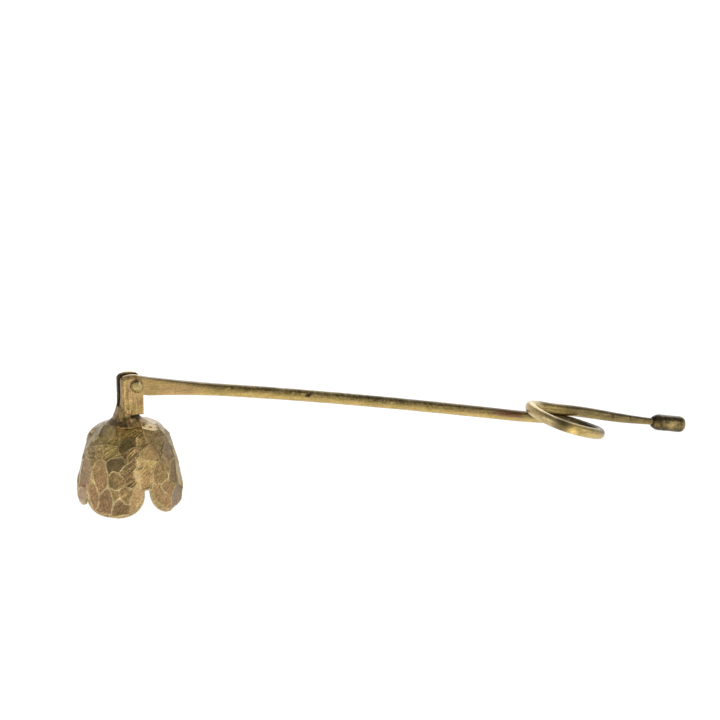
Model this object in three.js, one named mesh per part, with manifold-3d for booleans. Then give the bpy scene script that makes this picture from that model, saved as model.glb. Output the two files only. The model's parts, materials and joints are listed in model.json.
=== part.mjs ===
// Hinged candle snuffer in cast and hand-hammered brass.
// A five-lobed bell carries a forked post (the clevis) brazed on its crown. A flattened handle bar
// swings between the fork's cheeks on a peened rivet. The bar runs on as a round rod, turns once
// into a finger loop, and its thin tail is soldered into a small barrel knob.
//
// Millimetres, +Z up. Everything is laid out about the bell's own axis (bell axis = Z, handle along
// +X, bell standing on its lobes at Z = 0), then the whole group is moved so that the origin is the
// centre of the bounding box at its lowest level.

import * as THREE from "three";
import { mergeVertices } from "three/addons/utils/BufferGeometryUtils.js";
import Module from "manifold-3d";

// ---------- driving dimensions (mm, degrees) ----------
const BELL_WALL = 1.5; // thickness of the bell's wall
const CROWN_HOLE_R = 3.3; // hole in the crown for the fork's spigot
const LOBE_CUT_H = 10.9; // height of the slits between the lobes
const SLIT_W = 2.0; // width of a slit at its top
const LOBE_POWER = 2.3; // 2 = elliptical lobes, more = squarer
const SLIT_AZ = [-87, -10, 58, 126.5, 194.8]; // where the slits are, from +X
const LOBE_FOOT = [0, 0, 0, 0.8, 0]; // the lobe on the side away from the handle stands a little clear
const LOBE_R = 19.4; // mean radius at the lobes

const PIVOT = new THREE.Vector3(2.7, 0, 46.0); // hinge axis, along Y
const SLOT_HALF = 1.5; // half the gap between the cheeks
const CHEEK_OUT = 3.7; // outer face of a cheek, from the centre plane
const CHEEK_X0 = -3.35, CHEEK_X1 = 5.05; // width of the cheeks
const CHEEK_FOOT_Z = 35.1; // underside of the cheeks' overhang
const CHEEK_TOP_Z = 50.5; // inner rim of the cheeks
const SLOT_FLOOR_Z = 38.0;
const FOOT_Z = 33.35; // underside of the fork's foot
const RIVET_R = 1.5, RIVET_GAP = 0.08, RIVET_HEAD_R = 2.4, RIVET_HEAD_H = 1.05;

const BLADE_T = 2.7; // thickness of the flattened end
const BLADE_END_R = 3.45; // round end of the blade about the pivot
const LOOP_RX = 13.55, LOOP_RY = 13.3, LOOP_X = 172.9; // finger loop, to the rod's centreline
const BARREL_R = 3.3, BARREL_L = 14.4, BARREL_BORE_DEPTH = 6.0, BARREL_BORE_R = 1.75;

const KNOB_AT = new THREE.Vector3(217.9, 0, 5.86); // mouth of the knob's hole
const KNOB_DIR = new THREE.Vector3(1, 0, -0.205).normalize(); // the knob's axis, away from the bell

// ---------- helpers ----------
const wasm = await Module();
wasm.setup();

function solid(geometry) {
  const g = geometry.clone();
  g.deleteAttribute("normal");
  g.deleteAttribute("uv");
  const m = mergeVertices(g, 1e-4);
  return new wasm.Manifold(
    new wasm.Mesh({
      numProp: 3,
      vertProperties: new Float32Array(m.attributes.position.array),
      triVerts: new Uint32Array(m.index.array),
    }),
  );
}

function geometryOf(manifold) {
  const m = manifold.getMesh(), n = m.numProp;
  const v = new Float32Array(m.numVert * 3);
  for (let i = 0; i < m.numVert; i++) v.set(m.vertProperties.subarray(i * n, i * n + 3), i * 3);
  const g = new THREE.BufferGeometry();
  g.setAttribute("position", new THREE.BufferAttribute(v, 3));
  g.setIndex(new THREE.BufferAttribute(new Uint32Array(m.triVerts), 1));
  g.computeVertexNormals();
  return g;
}

// A closed skin over a list of rings, each an array of Vector3 of the same length, with flat ends.
function loft(rings) {
  const n = rings[0].length, pos = [], idx = [];
  rings.forEach((r) => r.forEach((p) => pos.push(p.x, p.y, p.z)));
  for (let i = 0; i + 1 < rings.length; i++)
    for (let j = 0; j < n; j++) {
      const a = i * n + j, b = i * n + ((j + 1) % n), c = a + n, d = b + n;
      idx.push(a, b, d, a, d, c);
    }
  for (const end of [0, rings.length - 1]) {
    const c = rings[end].reduce((s, p) => s.add(p), new THREE.Vector3()).multiplyScalar(1 / n);
    const k = pos.length / 3;
    pos.push(c.x, c.y, c.z);
    for (let j = 0; j < n; j++) {
      const a = end * n + j, b = end * n + ((j + 1) % n);
      if (end === 0) idx.push(k, b, a);
      else idx.push(k, a, b);
    }
  }
  const g = new THREE.BufferGeometry();
  g.setAttribute("position", new THREE.Float32BufferAttribute(pos, 3));
  g.setIndex(idx);
  g.computeVertexNormals();
  return g;
}

// Superellipse outline: half sizes a and b, power 2 = ellipse, larger = squarer.
function squircle(a, b, power, n) {
  const out = [];
  for (let i = 0; i < n; i++) {
    const t = ((i + 0.5) / n) * 2 * Math.PI, c = Math.cos(t), s = Math.sin(t);
    out.push([
      a * Math.sign(c) * Math.abs(c) ** (2 / power),
      b * Math.sign(s) * Math.abs(s) ** (2 / power),
    ]);
  }
  return out;
}

// Linear look-up in a table of [x, value...] rows.
function table(rows, x) {
  if (x <= rows[0][0]) return rows[0].slice(1);
  for (let i = 1; i < rows.length; i++)
    if (x <= rows[i][0]) {
      const [x0, ...v0] = rows[i - 1], [x1, ...v1] = rows[i], t = (x - x0) / (x1 - x0);
      return v0.map((v, k) => v + (v1[k] - v) * t);
    }
  return rows[rows.length - 1].slice(1);
}

function named(name, geometry, color, roughness, parent) {
  const m = new THREE.Mesh(
    geometry,
    new THREE.MeshStandardMaterial({ color, roughness, metalness: 1.0 }),
  );
  m.name = name;
  parent.add(m);
  return m;
}

const snuffer = new THREE.Group();

// ---------- bell ----------
const OUTER = [
  [18.8, 0], [19.3, 1.5], [19.75, 3.4], [20.0, 5.2], [20.1, 7.0], [19.85, 9.2], [19.35, 11.6], [18.8, 14.2],
  [18.2, 17.2], [17.6, 20.0], [16.9, 22.6], [16.05, 25.0], [15.0, 27.1], [13.6, 28.75], [11.9, 29.95], [10.1, 30.85],
  [8.2, 31.65], [6.2, 32.35], [4.6, 32.8], [CROWN_HOLE_R, 33.0],
];
const INNER = OUTER.map(([r, z], i) => {
  // the outer line moved inwards by the wall, square to itself
  const a = OUTER[Math.max(0, i - 1)], b = OUTER[Math.min(OUTER.length - 1, i + 1)];
  const dr = b[0] - a[0], dz = b[1] - a[1], l = Math.hypot(dr, dz);
  if (i === 0) return [r - BELL_WALL, 0];
  if (i === OUTER.length - 1) return [r, z - BELL_WALL];
  return [r - (BELL_WALL * dz) / l, z + (BELL_WALL * dr) / l];
});
const bellProfile = [...OUTER, ...INNER.reverse(), OUTER[0]].map(([r, z]) => new THREE.Vector2(r, z));
const bellLathe = new THREE.LatheGeometry(bellProfile, 70).rotateX(Math.PI / 2);
let bell = solid(bellLathe);
if (bell.volume() < 0) {
  const g = new THREE.LatheGeometry([...bellProfile].reverse(), 70).rotateX(Math.PI / 2);
  bell = solid(g);
}
// One cutter for each slit: the gap between two neighbouring lobes, seen square on, pushed through the wall.
SLIT_AZ.forEach((az, i) => {
  const before = i ? SLIT_AZ[i - 1] : SLIT_AZ[SLIT_AZ.length - 1] - 360;
  const after = i + 1 < SLIT_AZ.length ? SLIT_AZ[i + 1] : SLIT_AZ[0] + 360;
  const line = [];
  for (const [side, far, lobe] of [[-1, before, (i + 4) % 5], [1, after, i]]) {
    const span = Math.abs(far - az) / 2; // degrees from this slit to that lobe's centre
    const foot = LOBE_FOOT[lobe];
    const lobeHalf = (THREE.MathUtils.degToRad(span) * LOBE_R) - SLIT_W / 2;
    const half = [];
    for (let k = 0; k <= 12; k++) {
      // u runs from the lobe's centre (0) to its edge (1), closer together near the edge
      const u = Math.sin((k / 12) * Math.PI / 2);
      const z = foot + (LOBE_CUT_H - foot) * (1 - (1 - u ** LOBE_POWER) ** (1 / LOBE_POWER)) - 0.1;
      const ang = THREE.MathUtils.degToRad(span) - (u * lobeHalf) / LOBE_R;
      half.push([side * LOBE_R * Math.sin(ang), z > 0.02 ? z : -0.5]);
    }
    if (side < 0) line.push(...half);
    else line.push(...half.reverse());
  }
  const shape = new THREE.Shape();
  shape.moveTo(line[0][0], -4);
  line.forEach(([s, z]) => shape.lineTo(s, z));
  shape.lineTo(line[line.length - 1][0], -4);
  // extruded along +Z, then stood up so that it points outwards at the slit
  const g = new THREE.ExtrudeGeometry(shape, { depth: 20, bevelEnabled: false });
  g.translate(0, 0, 8); // from 8 mm to 28 mm out
  // shape x -> tangential, shape y -> Z, depth -> radial
  const a = THREE.MathUtils.degToRad(az);
  const radial = new THREE.Vector3(Math.cos(a), Math.sin(a), 0);
  const tangent = new THREE.Vector3(-Math.sin(a), Math.cos(a), 0);
  g.applyMatrix4(new THREE.Matrix4().makeBasis(tangent, new THREE.Vector3(0, 0, 1), radial));
  bell = bell.subtract(solid(g));
});
named("bell_cup", geometryOf(bell), 0x9c8350, 0.42, snuffer);

// ---------- fork (clevis) ----------
function prismXZ(points, y0, y1) {
  const shape = new THREE.Shape(points.map(([x, z]) => new THREE.Vector2(x, z)));
  const g = new THREE.ExtrudeGeometry(shape, { depth: y1 - y0, bevelEnabled: false });
  g.rotateX(Math.PI / 2); // shape y -> Z, depth -> -Y
  g.translate(0, y1, 0);
  return solid(g);
}
function prismYZ(points, x0, x1) {
  const shape = new THREE.Shape(points.map(([y, z]) => new THREE.Vector2(y, z)));
  const g = new THREE.ExtrudeGeometry(shape, { depth: x1 - x0, bevelEnabled: false });
  g.applyMatrix4(new THREE.Matrix4().makeBasis(
    new THREE.Vector3(0, 1, 0), new THREE.Vector3(0, 0, 1), new THREE.Vector3(1, 0, 0)));
  g.translate(x0, 0, 0);
  return solid(g);
}
function rodY(r, y0, y1, x, z, n = 32) {
  const g = new THREE.CylinderGeometry(r, r, y1 - y0, n);
  g.translate(x, (y0 + y1) / 2, z);
  return solid(g);
}
const T = CHEEK_TOP_Z, L = CHEEK_X0, R = CHEEK_X1, F = CHEEK_FOOT_Z;
const front = [
  [L, F + 2.2], [L + 0.5, F + 0.5], [L + 1.6, F], [R - 0.35, F], [R, F + 0.45], [R, T - 1.5], [R - 0.4, T - 0.7], [R - 1.1, T - 0.2],
  [R - 2.2, T], [L + 1.9, T], [L + 0.9, T - 0.25], [L + 0.25, T - 0.9], [L, T - 1.9],
];
const side = [
  [-CHEEK_OUT, F - 1], [CHEEK_OUT, F - 1], [CHEEK_OUT, T - 1.1], [CHEEK_OUT - 0.5, T - 0.5], [SLOT_HALF + 0.5, T],
  [-SLOT_HALF - 0.5, T], [-CHEEK_OUT + 0.5, T - 0.55], [-CHEEK_OUT, T - 1.2],
];
let fork = prismXZ(front, -CHEEK_OUT - 1, CHEEK_OUT + 1).intersect(prismYZ(side, L - 1, R + 1));
// neck and flared foot: z, left x, right x, half depth, squareness
const NECK = [
  [FOOT_Z, -5.9, 4.6, 5.3, 2.2], [34.1, -5.75, 4.2, 4.6, 2.3], [34.7, -5.6, 3.8, 4.0, 2.6], [35.5, -5.35, 3.6, 3.55, 3.2],
  [36.6, -5.05, 3.55, 3.4, 4], [38.0, -4.7, 3.6, 3.4, 5], [39.5, -4.25, 3.8, 3.45, 6], [41.2, -3.75, 4.1, 3.5, 7],
];
const neck = loft(
  NECK.map(([z, x0, x1, b, p]) =>
    squircle((x1 - x0) / 2, b, p, 40).map(([x, y]) => new THREE.Vector3((x0 + x1) / 2 + x, y, z)),
  ),
);
fork = fork.add(solid(neck));
const slot = new THREE.BoxGeometry(30, 2 * SLOT_HALF, 20);
slot.translate(0, 0, SLOT_FLOOR_Z + 10);
fork = fork.subtract(solid(slot));
// spigot through the crown, spread into a low head on the inside
const spigot = new THREE.LatheGeometry(
  [[0, 29.8], [1.8, 29.85], [3.3, 30.1], [4.2, 30.5], [4.35, 30.8], [3.0, 31.05], [3.0, 34.5], [0, 34.5]].map(
    ([r, z]) => new THREE.Vector2(r, z)),
  36,
).rotateX(Math.PI / 2);
let spig = solid(spigot);
fork = fork.add(spig);
fork = fork.subtract(rodY(RIVET_R + RIVET_GAP, -9, 9, PIVOT.x, PIVOT.z));
named("clevis_fork", geometryOf(fork), 0xa98c55, 0.4, snuffer);

// ---------- braze bead round the foot ----------
const bead = new THREE.LatheGeometry(
  [[5.75, 33.0], [7.1, 32.7], [6.95, 32.9], [6.35, 33.2], [6.0, 33.6], [5.75, 34.0], [5.75, 33.0]].map(
    ([r, z]) => new THREE.Vector2(r, z)),
  48,
).rotateX(Math.PI / 2);
bead.translate(-0.65, 0, 0);
named("braze_bead", geometryOf(solid(bead)), 0x7a6238, 0.6, snuffer);

// ---------- rivet ----------
const H = CHEEK_OUT + 0.08, RH = RIVET_HEAD_R, HH = RIVET_HEAD_H;
const rivetHalf = [[0, H + HH], [RH * 0.45, H + HH * 0.95], [RH * 0.78, H + HH * 0.68], [RH * 0.96, H + HH * 0.32], [RH, H + 0.02], [RH * 0.97, H], [RIVET_R, H]];
const rivetProfile = [...rivetHalf.map(([r, y]) => new THREE.Vector2(r, y)),
  ...[...rivetHalf].reverse().map(([r, y]) => new THREE.Vector2(r, -y))];
const rivet = new THREE.LatheGeometry(rivetProfile.reverse(), 32);
rivet.translate(PIVOT.x, 0, PIVOT.z);
named("pivot_rivet", geometryOf(solid(rivet)), 0xc0a468, 0.3, snuffer);

// ---------- handle bar ----------
// Centreline of the straight part: a long shallow bow.
const bow = (x) => 45.798 - 0.14789 * x - 3.8896e-4 * x * x + 6.7035e-7 * x ** 3;
const line = [];
for (const x of [8, 12, 17, 23, 30, 38, 47, 57, 68, 80, 92, 104, 116, 128, 140, 150, 158]) line.push(new THREE.Vector3(x, 0, bow(x)));
// finger loop: angle from the far side, height of the centreline
const LOOP_Z = [[0, 12.15], [30, 10.7], [60, 9.6], [90, 9.75], [120, 11.0], [150, 13.2], [180, 15.75], [210, 18.2], [240, 20.3], [270, 21.3], [300, 20.8], [330, 19.1], [360, 17.1]];
for (const [deg, z] of LOOP_Z) {
  const t = THREE.MathUtils.degToRad(deg);
  // the first pass lies straight for a little longer than a true ellipse would
  line.push(new THREE.Vector3(LOOP_X + LOOP_RX * Math.sin(t), -LOOP_RY * (1 - Math.cos(t)), z));
}
for (const [x, z] of [[184.4, 14.15], [192.2, 12.1], [199.5, 10.1], [206.7, 8.3], [212.5, 7.0]]) line.push(new THREE.Vector3(x, 0, z));
for (const d of [0, 2.6, 5.2]) line.push(KNOB_AT.clone().addScaledVector(KNOB_DIR, d)); // tenon in the knob
const path = new THREE.CatmullRomCurve3(line, false, "centripetal");
// section along the bar: distance from its start, width (Y), height, squareness
const total = path.getLength();
// (x of the bar) -> width, height, power for the straight part
const BAR = [
  [8, BLADE_T, 6.85, 7], [14.4, 3.0, 6.05, 5.5], [20.6, 3.5, 5.4, 4.2], [26.8, 4.1, 4.98, 3.1], [33, 4.5, 4.7, 2.4], [45, 4.6, 4.66, 2.05],
  [80, 4.55, 4.55, 2], [120, 4.52, 4.52, 2], [158, 4.42, 4.42, 2],
];
const TAIL = [[184, 4.38], [192, 4.22], [197.7, 4.05], [203.1, 3.78], [208.5, 3.4], [213, 3.05], [216, 2.88], [240, 2.8]];
const rings = [];
const N = 16;
function ringAt(p, tangent, w, h, power) {
  const t = tangent.clone().normalize();
  const sideways = new THREE.Vector3().crossVectors(new THREE.Vector3(0, 0, 1), t).normalize();
  const up = new THREE.Vector3().crossVectors(t, sideways);
  return squircle(w / 2, h / 2, power, N).map(([a, b]) =>
    p.clone().addScaledVector(sideways, a).addScaledVector(up, b));
}
// blade end: half a disc about the pivot, then the blade up to where the bow starts
const bladeDir = new THREE.Vector3(1, 0, -0.118);
for (const k of [-0.97, -0.86, -0.68, -0.45, -0.2, 0.1]) {
  const x = k * BLADE_END_R, h = 2 * Math.sqrt(BLADE_END_R ** 2 - (k < 0 ? x * x : 0));
  rings.push(ringAt(PIVOT.clone().addScaledVector(bladeDir, x), bladeDir, BLADE_T - (k < -0.9 ? 0.3 : 0), h, 7));
}
rings.push(ringAt(new THREE.Vector3(5.4, 0, 45.33), bladeDir, BLADE_T, 6.9, 7));
const STEPS = 116;
let lastSection = null;
for (let i = 0; i <= STEPS; i++) {
  const u = i / STEPS, p = path.getPointAt(u), t = path.getTangentAt(u);
  const s = u * total;
  let w, h, q;
  if (p.x <= 158 && s < total * 0.6) [w, h, q] = table(BAR, p.x);
  else if (s > total * 0.75 && p.y > -1 && p.x > 184) { [w] = table(TAIL, p.x); h = w; q = 2; }
  else { w = 4.4; h = 4.4; q = 2; }
  rings.push(ringAt(p, t, w, h, q));
}
let bar = solid(loft(rings));
if (bar.volume() < 0) bar = solid(loft(rings.map((r) => [...r].reverse())));
bar = bar.subtract(rodY(RIVET_R + RIVET_GAP, -9, 9, PIVOT.x, PIVOT.z));
named("handle_bar", geometryOf(bar), 0xae9156, 0.36, snuffer);

// ---------- barrel knob on the tail ----------
const barrelProfile = [
  [0, BARREL_BORE_DEPTH], [BARREL_BORE_R, BARREL_BORE_DEPTH], [BARREL_BORE_R, 0.25], [1.95, 0.0], [2.35, 0.55], [2.85, 1.35], [3.15, 2.2], [BARREL_R, 3.2],
  [BARREL_R, BARREL_L - 1.5], [3.1, BARREL_L - 0.75], [2.6, BARREL_L - 0.2], [2.0, BARREL_L], [0, BARREL_L],
];
const barrel = new THREE.LatheGeometry(barrelProfile.map(([r, z]) => new THREE.Vector2(r, z)), 36);
// lathe axis (Y) laid along the tail, and let down until its far end rests at bell-foot level
barrel.applyQuaternion(new THREE.Quaternion().setFromUnitVectors(new THREE.Vector3(0, 1, 0), KNOB_DIR));
barrel.translate(KNOB_AT.x, KNOB_AT.y, KNOB_AT.z);
barrel.computeBoundingBox();
barrel.translate(0, 0, -barrel.boundingBox.min.z);
const barrelMesh = solid(barrel);
named("barrel_knob", geometryOf(barrelMesh), 0x8a7040, 0.38, snuffer);

// ---------- origin: centre of the bounding box, at the level it stands on ----------
const box = new THREE.Box3().setFromObject(snuffer);
const shift = new THREE.Vector3(-(box.min.x + box.max.x) / 2, -(box.min.y + box.max.y) / 2, -box.min.z);
snuffer.children.forEach((m) => m.geometry.translate(shift.x, shift.y, shift.z));

export default snuffer;
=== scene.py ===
import json
import math

import bpy
import numpy as np
from mathutils import Matrix, Vector


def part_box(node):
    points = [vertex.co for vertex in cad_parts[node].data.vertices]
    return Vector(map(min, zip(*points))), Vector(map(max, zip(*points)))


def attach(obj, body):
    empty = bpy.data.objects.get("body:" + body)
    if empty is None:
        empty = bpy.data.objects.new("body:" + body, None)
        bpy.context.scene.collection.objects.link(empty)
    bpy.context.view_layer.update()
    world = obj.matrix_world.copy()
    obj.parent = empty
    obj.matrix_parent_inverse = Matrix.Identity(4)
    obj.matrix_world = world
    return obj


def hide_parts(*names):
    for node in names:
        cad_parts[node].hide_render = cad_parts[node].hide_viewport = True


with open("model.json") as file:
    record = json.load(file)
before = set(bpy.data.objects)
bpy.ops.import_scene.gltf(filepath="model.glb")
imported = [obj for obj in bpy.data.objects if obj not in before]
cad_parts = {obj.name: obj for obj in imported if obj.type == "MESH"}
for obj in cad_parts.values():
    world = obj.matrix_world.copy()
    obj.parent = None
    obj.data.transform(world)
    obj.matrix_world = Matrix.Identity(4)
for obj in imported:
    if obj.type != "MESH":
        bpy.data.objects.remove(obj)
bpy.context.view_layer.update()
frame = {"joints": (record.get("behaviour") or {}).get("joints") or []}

# Shapes are worked out in millimetres about the bell's own axis, as in the CAD model: X along the handle, Y away
# from the finger loop's side, Z up. The hinge says where that axis lies in the row frame.
PIVOT = frame["joints"][0]["pos_m"]
SHIFT = np.array([PIVOT[0] * 1000 - 2.7, PIVOT[1] * 1000, 0.0])


# ---------------------------------------------------------------- helpers
def hash3(i, j, k, seed):
    n = (i * 374761393 + j * 668265263 + k * 2147483647 + seed * 1274126177) & 0xFFFFFFFF
    n = ((n ^ (n >> 13)) * 1274126177) & 0xFFFFFFFF
    n = (n ^ (n >> 16)) & 0xFFFFFF
    return n / float(0xFFFFFF) * 2 - 1


def noise(P, scale, seed=0):
    """Smooth value noise, -1 to 1. scale is the feature size in mm, a number or one per axis."""
    if COARSE[0]:
        return 0.0
    q = np.asarray(P, float) / np.asarray(scale, float)
    b = np.floor(q).astype(np.int64)
    f = q - b
    f = f * f * (3 - 2 * f)
    out = 0.0
    for di in (0, 1):
        wx = f[..., 0] if di else 1 - f[..., 0]
        for dj in (0, 1):
            wy = f[..., 1] if dj else 1 - f[..., 1]
            for dk in (0, 1):
                wz = f[..., 2] if dk else 1 - f[..., 2]
                out = out + wx * wy * wz * hash3(b[..., 0] + di, b[..., 1] + dj, b[..., 2] + dk, seed)
    return out


COARSE = [False]  # while a shape is being found on the grid its fine unevenness is left out


def fbm(P, scale, seed=0, octaves=3):
    if COARSE[0]:
        return 0.0
    s, a, tot = 0.0, 1.0, 0.0
    for o in range(octaves):
        s = s + a * noise(P, np.asarray(scale, float) / 2 ** o, seed + 17 * o)
        tot += a
        a *= 0.5
    return s / tot


def smoothstep(a, b, x):
    t = np.clip((x - a) / (b - a), 0, 1)
    return t * t * (3 - 2 * t)


def make(name, verts, faces, body, nodes, material, attributes=None):
    """A mesh object from points in mm about the bell's axis."""
    v = (np.asarray(verts, float) + SHIFT) / 1000.0
    me = bpy.data.meshes.new(name)
    quads = np.asarray(faces, np.int64)
    me.vertices.add(len(v))
    me.vertices.foreach_set("co", v.astype(np.float32).ravel())
    me.loops.add(quads.size)
    me.loops.foreach_set("vertex_index", quads.astype(np.int32).ravel())
    me.polygons.add(len(quads))
    me.polygons.foreach_set("loop_start", np.arange(0, quads.size, quads.shape[1], dtype=np.int32))
    me.polygons.foreach_set("use_smooth", np.ones(len(quads), bool))
    me.update(calc_edges=True)
    me.validate()
    for key, val in {"painted_sheen": np.zeros(len(verts)), **(attributes or {})}.items():
        a = me.attributes.new(key, "FLOAT", "POINT")
        a.data.foreach_set("value", np.asarray(val, np.float32))
    ob = bpy.data.objects.new(name, me)
    bpy.context.scene.collection.objects.link(ob)
    me.materials.append(material)
    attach(ob, body)
    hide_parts(*nodes)
    return ob


def grid_faces(rows, cols, wrap_rows=False, wrap_cols=True, flip=False):
    """Quads over a grid of points numbered row by row."""
    r = np.arange(rows if wrap_rows else rows - 1)
    c = np.arange(cols if wrap_cols else cols - 1)
    R, C = np.meshgrid(r, c, indexing="ij")
    a = R * cols + C
    b = R * cols + (C + 1) % cols
    d = ((R + 1) % rows) * cols + C
    e = ((R + 1) % rows) * cols + (C + 1) % cols
    q = np.stack([a, b, e, d], -1).reshape(-1, 4)
    return q[:, ::-1] if flip else q


def nets(f, lo, hi, h, steps=3):
    """Surface nets: a quad mesh of f = 0, f < 0 inside, then drawn on to the surface."""
    lo = np.array(lo, float)
    n = np.ceil((np.array(hi) - lo) / h).astype(int) + 1
    ax = [lo[i] + h * np.arange(n[i]) for i in range(3)]
    G = np.stack(np.meshgrid(*ax, indexing="ij"), -1)
    COARSE[0] = True
    V = f(G)
    COARSE[0] = False
    ins = V < 0
    count = np.zeros(n - 1, int)
    acc = np.zeros((*(n - 1), 3))
    offs = [(i, j, k) for i in (0, 1) for j in (0, 1) for k in (0, 1)]

    def cut(A, o):
        return A[o[0]: A.shape[0] - 1 + o[0], o[1]: A.shape[1] - 1 + o[1], o[2]: A.shape[2] - 1 + o[2]]

    for p in range(8):
        for axis in range(3):
            if offs[p][axis] == 0:
                q = list(offs[p])
                q[axis] = 1
                a, b = cut(V, offs[p]), cut(V, q)
                x = (a < 0) != (b < 0)
                t = a[x] / (a[x] - b[x])
                pt = np.empty((x.sum(), 3))
                pt[:] = np.array(offs[p], float)
                pt[:, axis] += t
                acc[x] += pt
                count[x] += 1
    act = count > 0
    idx = -np.ones(act.shape, np.int64)
    idx[act] = np.arange(act.sum())
    base = np.stack(np.nonzero(act), -1)
    verts = lo + h * (base + acc[act] / count[act][:, None])
    faces = []
    for axis in range(3):
        u, w = [(1, 2), (2, 0), (0, 1)][axis]
        sl0, sl1 = [slice(None)] * 3, [slice(None)] * 3
        sl0[axis], sl1[axis] = slice(0, -1), slice(1, None)
        a, b = ins[tuple(sl0)], ins[tuple(sl1)]
        for sign, m in ((1, a & ~b), (-1, ~a & b)):
            c = np.stack(np.nonzero(m), -1)
            c = c[(c[:, u] > 0) & (c[:, w] > 0)]
            d = []
            for du, dw in ((-1, -1), (0, -1), (0, 0), (-1, 0)):
                e = c.copy()
                e[:, u] += du
                e[:, w] += dw
                d.append(idx[e[:, 0], e[:, 1], e[:, 2]])
            q = np.stack(d, -1)
            faces.append(q if sign > 0 else q[:, ::-1])
    faces = np.concatenate(faces)
    e = h * 0.25
    for _ in range(steps):
        g = np.stack([(f(verts + d) - f(verts - d)) / (2 * e) for d in np.eye(3) * e], -1)
        l2 = np.maximum((g * g).sum(-1), 0.05)
        move = -(f(verts) / l2)[:, None] * g
        verts = verts + np.clip(move, -0.4 * h, 0.4 * h)
    return verts, faces


def smin(a, b, k):
    h = np.clip(0.5 + 0.5 * (b - a) / k, 0, 1)
    return b + (a - b) * h - k * h * (1 - h)


def smax(a, b, k):
    return -smin(-a, -b, k)


def rmax(a, b, r):
    """Both, with the edge between them rounded to radius r."""
    return np.minimum(np.maximum(a, b), -r) + np.hypot(np.maximum(a + r, 0), np.maximum(b + r, 0))


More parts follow.
